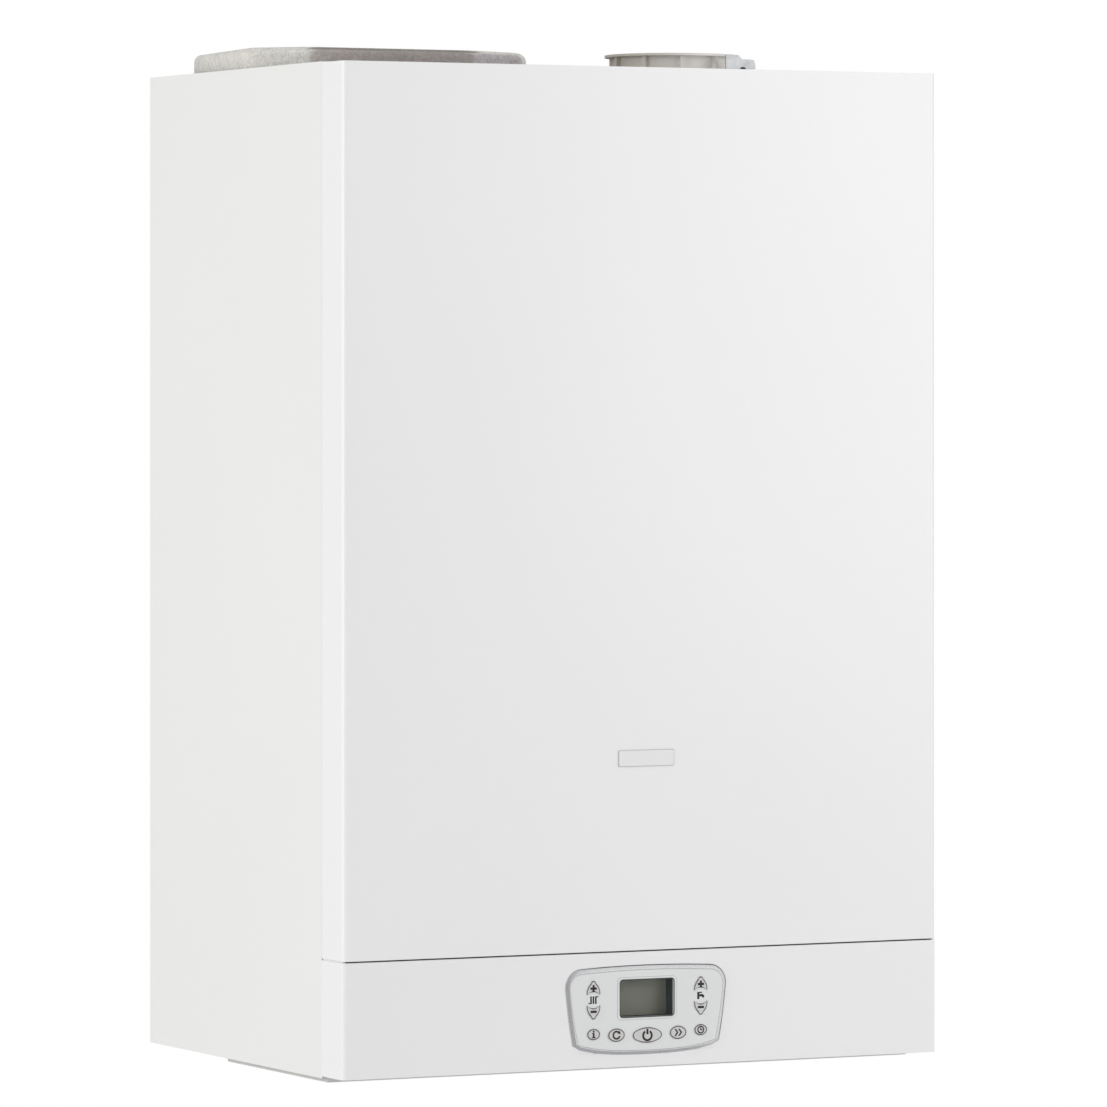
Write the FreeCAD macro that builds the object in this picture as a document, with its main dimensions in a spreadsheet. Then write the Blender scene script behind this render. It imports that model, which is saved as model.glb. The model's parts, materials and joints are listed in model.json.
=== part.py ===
import FreeCAD, Part
import math
import os
import Sketcher
from types import SimpleNamespace

# A wall-hung condensing gas boiler with a built-in hot-water tank, in millimetres.
# X runs to the right, Y to the wall and Z up. Heights in the sheet are measured from the lower edge of the
# casing; place() lowers every piece by hook_height, so the origin lies midway between the two hanging slots,
# on the wall plane. Depths in the sheet are measured from the wall towards the room.

DIMENSIONS = {
    # casing
    "casing_width": 600,
    "casing_depth": 430,
    "casing_height": 900,
    "hook_drop": 50,
    "hook_inset": 30,
    "sheet_wall": 1.0,
    "cut_overrun": 2,
    "running_gap": 0.05,
    "loose_gap": 0.5,
    "fit_gap": 0.3,
    "edge_slack": 1,
    # rear frame
    "frame_wall": 1.5,
    "frame_flange": 25,
    "frame_drop": 2,
    "hook_slot_length": 24,
    "hook_slot_radius": 5,
    "fixing_inset": 50,
    "fixing_height": 140,
    "fixing_radius": 4,
    # side panels
    "side_flange": 8,
    "side_foot": 2,
    "wall_gap": 0.5,
    # front cover
    "cover_return": 45,
    "cover_round": 5,
    "cover_drop": 1,
    "cover_bottom_return": 16,
    "seam_gap": 0.6,
    "cover_gap": 1.4,
    "stud_inset": 40,
    "stud_radius": 3,
    "stud_neck_radius": 2.2,
    "stud_reach": 30,
    "stud_head": 8,
    "clip_wall": 1.2,
    "clip_width": 18,
    "clip_depth": 14,
    # top panel and lower crossbar
    "top_drop": 16,
    "top_rim": 12,
    "cap_gap": 2,
    "crossbar_height": 112,
    "crossbar_rise": 24,
    "crossbar_depth": 18,
    # control panel
    "fascia_height": 103,
    "fascia_wall": 2.5,
    "fascia_overhang": 0.5,
    "fascia_round": 5,
    "tray_inset": 6,
    "tray_back": 166,
    "tray_drop": 6,
    "tray_height": 94,
    "tray_wall": 2.5,
    "lid_thick": 2,
    "boss_radius": 5,
    "boss_inset": 60,
    "hinge_depth": 158,
    "hinge_height": 4,
    "hinge_pin_radius": 3,
    "hinge_barrel_radius": 6,
    "hinge_barrel_length": 18,
    "hinge_ear": 3,
    "hinge_inset": 20,
    # control insert
    "bezel_half_top": 82.5,
    "bezel_half_bottom": 73,
    "bezel_top": 88.4,
    "bezel_bottom": 14.4,
    "bezel_crown": 3,
    "bezel_side_crown": 1.5,
    "bezel_upper_round": 17,
    "bezel_lower_round": 9,
    "bezel_ring": 4.2,
    "bezel_proud": 2.2,
    "bezel_bevel": 3.4,
    "bezel_seat": 4,
    "keypad_thick": 3,
    "lcd_width": 54.5,
    "lcd_height": 33,
    "lcd_middle": 61.5,
    "lcd_frame": 2,
    "lcd_window_thick": 1.6,
    "lcd_module_depth": 16,
    "lcd_recess": 13,
    "key_travel": 1.0,
    "key_proud": 0.8,
    "key_gap": 0.35,
    "key_height": 5.5,
    "board_thick": 1.6,
    "arrow_key_place": 54.3,
    "arrow_key_half": 6.6,
    "arrow_key_shoulder": 2.4,
    "arrow_key_inner": 66.2,
    "arrow_key_mid": 76.6,
    "arrow_key_crown": 2.2,
    "arrow_key_hollow": 2.6,
    "arrow_key_cheek": 1.4,
    "info_key_width": 12.7,
    "info_key_height": 10,
    "info_key_place": 54.2,
    "info_key_middle": 30.7,
    "reset_key_width": 16.5,
    "reset_key_height": 12,
    "reset_key_place": 31.2,
    "reset_key_middle": 29.2,
    "power_key_width": 29.3,
    "power_key_height": 13.9,
    "power_key_middle": 28.1,
    # main board in the tray
    "main_board_width": 420,
    "main_board_depth": 150,
    "main_board_lift": 12,
    "transformer_width": 60,
    "transformer_depth": 50,
    "transformer_height": 45,
    "relay_width": 20,
    "relay_height": 16,
    "relay_pitch": 34,
    # storage tank and insulation
    "tank_from_left": 8,
    "tank_from_right": 306,
    "tank_front_gap": 68,
    "tank_back": 18,
    "tank_bottom": 118,
    "tank_drop": 18,
    "foam_wall": 20,
    "foam_round": 60,
    "tank_clear": 0.5,
    "tank_wall": 2,
    "tank_end_round": 30,
    "coil_tube": 11,
    "coil_radius": 60,
    "coil_pitch": 40,
    "coil_lift": 70,
    "coil_end_inset": 83,
    "cap_rise": 20.5,
    "cap_back_from_left": 50,
    "cap_turn_from_left": 10,
    "cap_left_turn": 195,
    "cap_front_from_left": 55,
    "cap_front": 240,
    "cap_front_from_right": 385,
    "cap_chamfer_from_right": 322,
    "cap_chamfer_turn": 212,
    "cap_from_right": 304,
    "cap_right_turn": 180,
    "cap_corner_round": 14,
    "cap_edge_round": 12,
    # flue
    "flue_from_right": 154,
    "flue_depth": 200,
    "air_bore": 50.5,
    "collar_radius": 57.5,
    "collar_lip_radius": 63,
    "collar_lip": 2.2,
    "collar_rise": 21.5,
    "collar_flange_radius": 72,
    "collar_flange": 3,
    "collar_rib": 3,
    "flue_bore": 30.5,
    "flue_wall": 2.5,
    "flue_drop": 4,
    "flue_plate_from_right": 135,
    "flue_plate_width": 31,
    "flue_plate_depth": 273,
    "flue_plate_rise": 20,
    "flue_plate_step": 4,
    "flue_plate_foot": 20,
    "flue_plate_round": 4,
    "flue_plate_hole": 2.6,
    "plate_wall": 1.5,
    # heat exchanger and burner
    "drum_height": 640,
    "drum_radius": 115,
    "drum_front_gap": 130,
    "drum_back": 110,
    "drum_flange": 6,
    "drum_flange_depth": 14,
    "drum_groove": 3,
    "drum_waist": 5,
    "spigot_radius": 38,
    "spigot_rise": 14,
    "hanger_width": 120,
    "hanger_height": 30,
    "door_radius": 98,
    "door_thick": 12,
    "door_dome": 10,
    "door_rib": 5,
    "duct_width": 50,
    "duct_depth": 46,
    "duct_rise": 16,
    "burner_radius": 35,
    "burner_length": 120,
    "electrode_offset": 62,
    "electrode_radius": 5,
    "electrode_length": 46,
    # fan
    "fan_left": 46,
    "fan_drop": 47,
    "scroll_radius": 66,
    "scroll_depth": 48,
    "scroll_wall": 2.5,
    "eye_radius": 27,
    "wheel_radius": 52,
    "wheel_hub_radius": 14,
    "wheel_disc": 2.5,
    "wheel_width": 26,
    "blade_thick": 1.8,
    "blade_inner": 30,
    "fan_shaft_radius": 4,
    "fan_motor_radius": 37,
    "fan_motor_length": 36,
    "mixer_radius": 33,
    "mixer_throat": 20,
    "mixer_length": 66,
    "silencer_radius": 36,
    "silencer_mouth": 44,
    "silencer_gap": 35.5,
    # gas valve
    "valve_width": 62,
    "valve_depth": 70,
    "valve_height": 70,
    "valve_foot": 300,
    "coil_can_radius": 17,
    "coil_can_length": 34,
    "gas_tube": 9,
    "tube_wall": 1,
    "gas_run_height": 232,
    # pipe rail and nipples
    "rail_depth": 130,
    "bracket_height": 25,
    "bracket_depth": 163,
    "bracket_rim": 14,
    "nipple_end": 12,
    "large_nipple": 13.2,
    "small_nipple": 10.5,
    "nipple_wall": 2.5,
    "nipple_flange": 5,
    "nipple_flange_rise": 6,
    "nipple_nut_rise": 5,
    "hot_from_left": 60,
    "cold_from_right": 360,
    "gas_from_right": 184,
    "flow_from_right": 255,
    "return_from_right": 105,
    "drain_from_right": 38,
    "coil_rail_depth": 90,
    "coil_feed_height": 85,
    "coil_return_height": 50,
    "coil_bend": 18,
    "water_tube": 9,
    "heating_tube": 11,
    "bend_radius": 34,
    # flow and return groups, pump
    "group_foot": 168,
    "group_height": 84,
    "group_width": 58,
    "group_depth": 52,
    "group_round": 8,
    "diverter_width": 46,
    "diverter_height": 52,
    "diverter_depth": 56,
    "diverter_neck": 12,
    "diverter_neck_length": 14,
    "pump_radius": 50,
    "pump_depth": 44,
    "pump_motor_radius": 43,
    "pump_motor_length": 82,
    "pump_cap": 10,
    "vent_radius": 14,
    "vent_height": 46,
    "vent_cap": 7,
    "relief_from_right": 36,
    "relief_radius": 13,
    "relief_length": 30,
    "relief_knob_radius": 17,
    "relief_knob_length": 22,
    "knob_scallop": 3,
    "spindle_radius": 4,
    "fill_from_right": 305,
    "fill_height": 62,
    "fill_radius": 12,
    "fill_length": 28,
    "fill_knob_radius": 14,
    "fill_knob_length": 34,
    "fill_tube": 6,
    # condensate
    "trap_radius": 27,
    "trap_from_right": 42,
    "trap_front_gap": 175,
    "trap_foot": 320,
    "trap_height": 130,
    "trap_cap": 5,
    "drain_tube": 10,
    "drain_wall": 1.5,
    "drain_run_height": 150,
    # expansion vessel
    "vessel_radius": 138,
    "vessel_depth": 72,
    "vessel_height": 300,
    "vessel_from_right": 148,
    "vessel_back": 20,
    "vessel_rim": 6,
    "vessel_rim_width": 10,
    "vessel_boss": 16,
    "vessel_crown": 16,
    # gland
    "switch_radius": 2,
    "gland_from_left": 28,
    "gland_depth": 60,
    "gland_radius": 10,
    "gland_bore": 4,
    "gland_length": 22,
    "gland_nut": 14,
}

# Shares of a piece's own size at which its features sit.
slot_end_share = 0.9999
oval_turn_shares = (0.86, 0.51)
flue_foot_share = 0.045
plate_step_shares = (0.55, 0.42)
plate_corner_share = 0.9
plate_hole_shares = (0.36, 0.6, 0.82)
drum_back_share = 0.86
door_dome_shares = (0.8, 0.7)
door_rib_share = 0.9
outlet_share = 0.4
motor_shares = (0.7, 0.85, 0.6)
flare_share = 0.8
can_shares = (0.28, 0.72)
can_body_share = 0.8
union_share = 1.5
boss_share = 1.4
link_share = 0.7
knob_notch_share = 0.8
knob_bore_share = 0.6
drain_lead_share = 1.4

NUT_SIDES = 6

# Differences below these count as none where edges are picked.
SAME = 1e-6
NEAR = 1e-3

doc = FreeCAD.newDocument("Boiler")
sheet = doc.addObject("Spreadsheet::Sheet", "Dimensions")
for row, (alias, value) in enumerate(DIMENSIONS.items(), start=1):
    sheet.set(f"A{row}", alias)
    sheet.set(f"B{row}", str(value))
    sheet.setAlias(f"B{row}", alias)
doc.recompute()


class Size:
    """A length of the sheet, or a sum of such lengths: its number and its cell formula."""

    def __init__(self, number, formula):
        self.number = number
        self.formula = formula

    def join(self, other, sign, number):
        return Size(number, f"({self.formula} {sign} {formula_of(other)})")

    def __add__(self, other):
        return self.join(other, "+", self.number + number_of(other))

    def __sub__(self, other):
        return self.join(other, "-", self.number - number_of(other))

    def __mul__(self, other):
        return self.join(other, "*", self.number * number_of(other))

    def __truediv__(self, other):
        return self.join(other, "/", self.number / number_of(other))

    def __neg__(self):
        return Size(-self.number, f"(-{self.formula})")

    def __rmul__(self, other):
        return self * other

    def __radd__(self, other):
        return self + other


def number_of(value):
    return value.number if isinstance(value, Size) else float(value)


def formula_of(value):
    return value.formula if isinstance(value, Size) else str(value)


def root_of(value):
    return Size(math.sqrt(value.number), f"sqrt({value.formula})")


d = SimpleNamespace(**{k: Size(float(v), f"Dimensions.{k}") for k, v in DIMENSIONS.items()})
ZERO = Size(0.0, "0")
hook_height = d.casing_height - d.hook_drop
pieces = []

# Directions in which a rod or a revolved body points, as turns of one that points up.
TURNS = {
    "z": (FreeCAD.Vector(1, 0, 0), 0),
    "-z": (FreeCAD.Vector(1, 0, 0), 180),
    "y": (FreeCAD.Vector(1, 0, 0), -90),
    "-y": (FreeCAD.Vector(1, 0, 0), 90),
    "x": (FreeCAD.Vector(0, 1, 0), 90),
    "-x": (FreeCAD.Vector(0, 1, 0), -90),
}


def place(item, at=(ZERO, ZERO, ZERO), along="z"):
    """Put an item at a point of the casing, with heights counted from its lower edge."""
    item.Placement = FreeCAD.Placement(FreeCAD.Vector(), FreeCAD.Rotation(*TURNS[along]))
    x, y, z = at
    for axis, value in (("x", x), ("y", y), ("z", z - hook_height)):
        item.setExpression(f".Placement.Base.{axis}", formula_of(value))
    return item


def box(low, size):
    block = doc.addObject("Part::Box", "block")
    for name, length in zip(("Length", "Width", "Height"), size):
        block.setExpression(name, formula_of(length))
    return place(block, low)


def rod(at, radius, length, along="z"):
    round_bar = doc.addObject("Part::Cylinder", "rod")
    round_bar.setExpression("Radius", formula_of(radius))
    round_bar.setExpression("Height", formula_of(length))
    return place(round_bar, at, along)


def cone(at, radius, end_radius, length, along="z"):
    taper = doc.addObject("Part::Cone", "taper")
    taper.setExpression("Radius1", formula_of(radius))
    taper.setExpression("Radius2", formula_of(end_radius))
    taper.setExpression("Height", formula_of(length))
    return place(taper, at, along)


def fuse(*items):
    joined = doc.addObject("Part::MultiFuse", "joined")
    joined.Shapes = list(items)
    joined.Refine = True
    return joined


def cut(base, *tools):
    result = doc.addObject("Part::Cut", "cut")
    result.Base = base
    result.Tool = tools[0] if len(tools) == 1 else fuse(*tools)
    return result


def common(first, second):
    shared = doc.addObject("Part::MultiCommon", "shared")
    shared.Shapes = [first, second]
    return shared


def tube(at, radius, bore, length, along="z"):
    return cut(rod(at, radius, length, along), rod(at, bore, length, along))


def group(*items):
    bundle = doc.addObject("Part::Compound", "bundle")
    bundle.Links = list(items)
    return bundle


def piece(name, item):
    """Name a finished piece; the name is also that of its file."""
    item.Label = name
    pieces.append(item)
    return item


def new_body(at=(ZERO, ZERO, ZERO), along="z"):
    return place(doc.addObject("PartDesign::Body", "body"), at, along)


def new_sketch(body, role, lift=ZERO):
    sketch = body.newObject("Sketcher::SketchObject", "sketch")
    plane = next(item for item in body.Origin.OriginFeatures if item.Role == role)
    sketch.AttachmentSupport = [(plane, "")]
    sketch.MapMode = "FlatFace"
    sketch.setExpression(".AttachmentOffset.Base.z", formula_of(lift))
    return sketch


def fix(sketch, kind, *refs, value):
    index = sketch.addConstraint(Sketcher.Constraint(kind, *refs, number_of(value)))
    sketch.setExpression(f"Constraints[{index}]", formula_of(value))


def outline(sketch, corners):
    """A closed outline, counter-clockwise. A corner is (u, v), or (u, v, rise) where the side that
    starts there is an arc that rises outwards by that much, or inwards if it is negative."""
    first = sketch.GeometryCount
    count = len(corners)
    ends = []
    for index, corner in enumerate(corners):
        u, v = corner[:2]
        next_u, next_v = corners[(index + 1) % count][:2]
        start = FreeCAD.Vector(number_of(u), number_of(v), 0)
        stop = FreeCAD.Vector(number_of(next_u), number_of(next_v), 0)
        if len(corner) == 2:
            sketch.addGeometry(Part.LineSegment(start, stop), False)
            ends.append((1, 2))
            continue
        run = stop - start
        outward = FreeCAD.Vector(run.y, -run.x, 0).normalize()
        middle = (start + stop) / 2 + outward * number_of(corner[2])
        outwards = number_of(corner[2]) > 0
        arc = Part.Arc(start, middle, stop) if outwards else Part.Arc(stop, middle, start)
        sketch.addGeometry(arc, False)
        ends.append((1, 2) if outwards else (2, 1))
    for index, corner in enumerate(corners):
        following = (index + 1) % count
        refs = (first + index, ends[index][1], first + following, ends[following][0])
        sketch.addConstraint(Sketcher.Constraint("Coincident", *refs))
    for index, corner in enumerate(corners):
        fix(sketch, "DistanceX", -1, 1, first + index, ends[index][0], value=corner[0])
        fix(sketch, "DistanceY", -1, 1, first + index, ends[index][0], value=corner[1])
        if len(corner) == 3:
            across = corners[(index + 1) % count][0] - corner[0]
            upward = corners[(index + 1) % count][1] - corner[1]
            chord = across * across + upward * upward
            rise = root_of(corner[2] * corner[2])
            fix(sketch, "Radius", first + index, value=(chord / 4 + rise * rise) / (rise * 2))


def rectangle(sketch, low_u, low_v, high_u, high_v):
    outline(sketch, [(low_u, low_v), (high_u, low_v), (high_u, high_v), (low_u, high_v)])


def circle(sketch, u, v, radius):
    index = sketch.GeometryCount
    centre = FreeCAD.Vector(number_of(u), number_of(v), 0)
    sketch.addGeometry(Part.Circle(centre, FreeCAD.Vector(0, 0, 1), number_of(radius)), False)
    fix(sketch, "DistanceX", -1, 1, index, 3, value=u)
    fix(sketch, "DistanceY", -1, 1, index, 3, value=v)
    fix(sketch, "Radius", index, value=radius)


def pad(body, sketch, length):
    feature = body.newObject("PartDesign::Pad", "pad")
    feature.Profile = sketch
    feature.setExpression("Length", formula_of(length))
    doc.recompute()
    return feature


def pocket(body, sketch, depth):
    before = body.Shape.Volume
    feature = body.newObject("PartDesign::Pocket", "pocket")
    feature.Profile = sketch
    feature.setExpression("Length", formula_of(depth))
    doc.recompute()
    if feature.Shape.Volume >= before:
        raise RuntimeError(f"a pocket in {body.Name} cuts nothing")
    return feature


def spin(body, sketch):
    """Revolve a half section about the body's own upright axis."""
    feature = body.newObject("PartDesign::Revolution", "spin")
    feature.Profile = sketch
    feature.ReferenceAxis = (sketch, ["V_Axis"])
    feature.Angle = 360
    doc.recompute()
    return feature


def repeat_round(body, feature, count, role="Z_Axis"):
    pattern = body.newObject("PartDesign::PolarPattern", "repeat")
    pattern.Originals = [feature]
    pattern.Axis = (next(item for item in body.Origin.OriginFeatures if item.Role == role), [""])
    pattern.Angle = 360
    pattern.Occurrences = count
    body.Tip = pattern
    doc.recompute()
    return pattern


def soften(body, radius, chosen):
    """Round the edges of the body's last feature for which chosen(edge) holds."""
    last = body.Tip
    edges = [f"Edge{i}" for i, edge in enumerate(last.Shape.Edges, start=1) if chosen(edge)]
    feature = body.newObject("PartDesign::Fillet", "soften")
    feature.Base = (last, edges)
    feature.setExpression("Radius", formula_of(radius))
    doc.recompute()
    return feature


def runs_along(edge, axis):
    """Whether an edge is straight and lies along x, y or z, given as 0, 1 or 2."""
    if edge.Curve.TypeId != "Part::GeomLine":
        return False
    return abs(abs(edge.tangentAt(edge.FirstParameter)[axis]) - 1) < SAME


def revolved(name, at, along, corners):
    """A piece turned from a half section of (radius, height) corners."""
    body = new_body(at, along)
    sketch = new_sketch(body, "XZ_Plane")
    outline(sketch, corners)
    spin(body, sketch)
    return piece(name, body) if name else body


def bent_tube(points, radius, bore, bend):
    """A rigid tube along straight runs with equal bends, made from its own centre line."""
    route = [FreeCAD.Vector(*(number_of(value) for value in point)) for point in points]
    edges = []
    start = route[0]
    for before, corner, after in zip(route, route[1:], route[2:]):
        into = (corner - before).normalize()
        out = (after - corner).normalize()
        half_turn = into.getAngle(out) / 2
        setback = number_of(bend) * math.tan(half_turn)
        first = corner - into * setback
        last = corner + out * setback
        inward = (out - into).normalize()
        centre = corner + inward * (number_of(bend) / math.cos(half_turn))
        middle = centre - inward * number_of(bend)
        edges.append(Part.LineSegment(start, first).toShape())
        edges.append(Part.Arc(first, middle, last).toShape())
        start = last
    edges.append(Part.LineSegment(start, route[-1]).toShape())
    path = Part.Wire(edges)
    heading = (route[1] - route[0]).normalize()

    def swept(section):
        ring = Part.Wire([Part.Circle(route[0], heading, section).toShape()])
        return path.makePipeShell([ring], True, False)

    item = doc.addObject("Part::Feature", "bent_tube")
    item.Shape = swept(number_of(radius)).cut(swept(number_of(bore)))
    return place(item)


# Places that several pieces share.
half_width = d.casing_width / 2
front = -d.casing_depth
seam = d.cover_return - d.casing_depth
inner_half = half_width - d.sheet_wall
rail = -d.rail_depth
tray_half = half_width - d.tray_inset
tray_width = tray_half * 2
tray_front = seam + d.sheet_wall
bracket_top = d.bracket_height + d.frame_wall
top_level = d.casing_height - d.top_drop
tank_top = top_level - d.tank_drop
cap_top = d.casing_height + d.cap_rise
collar_top = d.casing_height + d.collar_rise
flue_top = top_level - d.flue_drop
flue_plate_top = d.casing_height + d.flue_plate_rise
fan_height = d.drum_height - d.drum_radius - d.fan_drop
duct_foot = fan_height + d.scroll_radius + d.duct_rise

# Sides of the pieces: the tank reaches from the left wall of the casing to the burner, which keeps its place
# by the right wall.
flue_x = half_width - d.flue_from_right
flue_plate_x = half_width - d.flue_plate_from_right
flow_x = half_width - d.flow_from_right
gas_x = half_width - d.gas_from_right
return_x = half_width - d.return_from_right
drain_x = half_width - d.drain_from_right
relief_x = half_width - d.relief_from_right
trap_x = half_width - d.trap_from_right
vessel_x = half_width - d.vessel_from_right
tank_right_x = half_width - d.tank_from_right
cap_right_x = half_width - d.cap_from_right
cap_chamfer_x = half_width - d.cap_chamfer_from_right
cap_front_right_x = half_width - d.cap_front_from_right
cold_x = half_width - d.cold_from_right
fill_x = half_width - d.fill_from_right
tank_left_x = d.tank_from_left - half_width
cap_back_x = d.cap_back_from_left - half_width
cap_turn_x = d.cap_turn_from_left - half_width
cap_front_left_x = d.cap_front_from_left - half_width
hot_x = d.hot_from_left - half_width
gland_x = d.gland_from_left - half_width
tank_front = d.casing_depth - d.tank_front_gap
drum_front = d.casing_depth - d.drum_front_gap
trap_depth = d.casing_depth - d.trap_front_gap
fan_line = -drum_front - d.door_thick - d.door_dome - d.loose_gap - d.scroll_depth / 2
mixer_end = fan_line + d.scroll_depth / 2 + d.mixer_length
silencer_length = rail - d.heating_tube - d.silencer_gap - mixer_end


def make_rear_frame():
    """A shallow steel tray that hangs on the wall by two slots."""
    body = new_body()
    sketch = new_sketch(body, "XZ_Plane")
    low = d.bracket_height - d.frame_wall
    high = d.casing_height - d.frame_drop
    rectangle(sketch, -inner_half, low, inner_half, high)
    pad(body, sketch, d.frame_flange)
    hollow = new_sketch(body, "XZ_Plane", d.frame_flange)
    wall = d.frame_wall
    rectangle(hollow, wall - inner_half, low + wall, inner_half - wall, high - wall)
    pocket(body, hollow, d.frame_flange - wall)
    slots = new_sketch(body, "XZ_Plane", d.frame_flange)
    reach = d.hook_slot_length / 2 - d.hook_slot_radius
    for side in (-1, 1):
        middle = (half_width - d.hook_inset) * side
        radius = d.hook_slot_radius
        level = hook_height
        corners = [
            (middle - reach, level - radius),
            (middle + reach, level - radius, radius * slot_end_share),
            (middle + reach, level + radius),
            (middle - reach, level + radius, radius * slot_end_share),
        ]
        outline(slots, corners)
        circle(slots, (half_width - d.fixing_inset) * side, d.fixing_height, d.fixing_radius)
    pocket(body, slots, d.frame_flange + d.cut_overrun)
    hanger_low = (flue_x - d.hanger_width / 2, -d.drum_back, d.drum_height - d.hanger_height / 2)
    reach = d.drum_back - wall / 2
    block = box(hanger_low, (d.hanger_width, reach, d.hanger_height))
    hollow = box(
        (hanger_low[0] + wall, hanger_low[1] + wall, hanger_low[2] - d.cut_overrun),
        (d.hanger_width - wall * 2, reach - wall * 2, d.hanger_height + d.cut_overrun * 2),
    )
    piece("rear_frame", fuse(body, cut(block, hollow)))


def make_side_panels():
    """Painted side sheets with a folded top edge and a folded front edge above the control panel."""
    low_y = seam + d.seam_gap
    length = -d.wall_gap - low_y
    height = d.casing_height + d.side_foot
    inner_length = length - d.sheet_wall + d.cut_overrun
    for side, name in ((-1, "left_side_panel"), (1, "right_side_panel")):
        left = -half_width if side < 0 else half_width - d.side_flange
        sheet_block = box((left, low_y, -d.side_foot), (d.side_flange, length, height))
        hollow_left = -inner_half if side < 0 else half_width - d.side_flange - d.cut_overrun
        width = d.side_flange - d.sheet_wall + d.cut_overrun
        over = d.fascia_height + d.cover_gap
        upper = box(
            (hollow_left, low_y + d.sheet_wall, over),
            (width, inner_length, d.casing_height - d.sheet_wall - over),
        )
        lower = box(
            (hollow_left, low_y - d.cut_overrun, -d.side_foot - d.cut_overrun),
            (width, length + d.cut_overrun * 2, over + d.side_foot + d.cut_overrun),
        )
        open_back = box(
            (hollow_left, -d.frame_flange - d.cut_overrun, -d.side_foot),
            (width, d.frame_flange + d.cut_overrun * 2, height + d.cut_overrun),
        )
        piece(name, cut(sheet_block, upper, lower, open_back))


def upright_front(edge):
    """Whether an edge stands upright before the seam of the cover."""
    return runs_along(edge, 2) and edge.CenterOfMass.y < number_of(seam - d.edge_slack)


def make_front_cover():
    """The painted front sheet, folded back at its sides and top, with rounded upright corners."""
    low = d.fascia_height + d.cover_gap
    high = d.casing_height - d.cover_drop
    body = new_body()
    sketch = new_sketch(body, "XY_Plane", low)
    rectangle(sketch, -half_width, front, half_width, seam)
    pad(body, sketch, high - low)
    soften(body, d.cover_round, upright_front)
    inside = new_body()
    sketch = new_sketch(inside, "XY_Plane", low + d.sheet_wall)
    wall = d.sheet_wall
    rectangle(sketch, wall - half_width, front + wall, half_width - wall, seam + d.cut_overrun)
    pad(inside, sketch, high - low - wall * 2)
    corner = d.cover_round - wall
    soften(inside, corner, upright_front)
    lip = box(
        (wall - half_width, front + d.cover_bottom_return, low - d.cut_overrun),
        (d.casing_width - wall * 2, d.cover_return, d.cut_overrun + wall * 2),
    )
    piece("front_cover", cut(body, inside, lip))


def stud_places():
    across = half_width - d.stud_inset
    upper = top_level - d.top_rim / 2
    lower = d.crossbar_height + d.crossbar_rise / 2
    return [(-across, upper), (across, upper), (-across, lower), (across, lower)]


def make_cover_fixings():
    """Four headed studs inside the cover, and the spring clips that grip them."""
    studs = []
    clips = []
    inner_face = front + d.sheet_wall
    for x, z in stud_places():
        neck = rod((x, inner_face, z), d.stud_neck_radius, d.stud_reach, "y")
        head = cone(
            (x, inner_face + d.stud_reach, z),
            d.stud_radius,
            d.stud_neck_radius,
            d.stud_head,
            "y",
        )
        studs.append(fuse(neck, head))
        back = seam + d.seam_gap + d.sheet_wall
        block = box(
            (x - d.clip_width / 2, back - d.clip_depth, z - d.clip_width / 2),
            (d.clip_width, d.clip_depth, d.clip_width),
        )
        gap = d.clip_width - d.clip_wall * 2
        hollow = box(
            (x - gap / 2, back - d.clip_depth + d.clip_wall, z - d.clip_width),
            (gap, d.clip_depth - d.clip_wall * 2, d.clip_width * 2),
        )
        mouth = rod(
            (x, back - d.clip_depth - d.cut_overrun, z),
            d.stud_radius + d.fit_gap,
            d.clip_depth + d.cut_overrun * 2,
            "y",
        )
        clips.append(cut(block, hollow, mouth))
    piece("cover_studs", group(*studs))
    piece("cover_clips", group(*clips))


def cap_corners(grow=ZERO):
    """Plan of the foam block on top of the tank, counter-clockwise, grown by a clearance."""
    back = -d.frame_flange - d.cap_gap
    return [
        (cap_back_x - grow, back + grow),
        (cap_turn_x - grow, -d.cap_left_turn - grow),
        (cap_front_left_x - grow, -d.cap_front - grow),
        (cap_front_right_x + grow, -d.cap_front - grow),
        (cap_chamfer_x + grow, -d.cap_chamfer_turn - grow),
        (cap_right_x + grow, -d.cap_right_turn - grow),
        (cap_right_x + grow, back + grow),
    ]


def make_top_panel():
    """The galvanised top sheet with its rim turned down, open round the foam block and the flue."""
    body = new_body()
    high = top_level
    low = high - d.top_rim
    back = -d.frame_flange
    near = seam + d.seam_gap + d.sheet_wall
    sketch = new_sketch(body, "XY_Plane", low)
    rectangle(sketch, -inner_half, near, inner_half, back)
    pad(body, sketch, d.top_rim)
    hollow = new_sketch(body, "XY_Plane", low)
    wall = d.sheet_wall
    rectangle(hollow, wall - inner_half, near + wall, inner_half - wall, back - wall)
    feature = body.newObject("PartDesign::Pocket", "hollow")
    feature.Profile = hollow
    feature.Reversed = True
    feature.setExpression("Length", formula_of(d.top_rim - wall))
    doc.recompute()
    openings = new_sketch(body, "XY_Plane", high)
    circle(openings, flue_x, -d.flue_depth, d.air_bore)
    pocket(body, openings, d.top_rim)
    plan = new_sketch(body, "XY_Plane", high)
    outline(plan, cap_corners(d.cap_gap))
    pocket(body, plan, d.top_rim + d.cut_overrun)
    piece("top_panel", body)


def make_crossbar():
    """A galvanised channel between the side panels, above the control panel."""
    low = (-inner_half, seam + d.seam_gap + d.sheet_wall, d.crossbar_height)
    bar = box(low, (inner_half * 2, d.crossbar_depth, d.crossbar_rise))
    wall = d.sheet_wall
    hollow = box(
        (-inner_half, low[1] + wall, d.crossbar_height + wall),
        (inner_half * 2, d.crossbar_depth, d.crossbar_rise - wall * 2),
    )
    piece("lower_crossbar", cut(bar, hollow))


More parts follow.
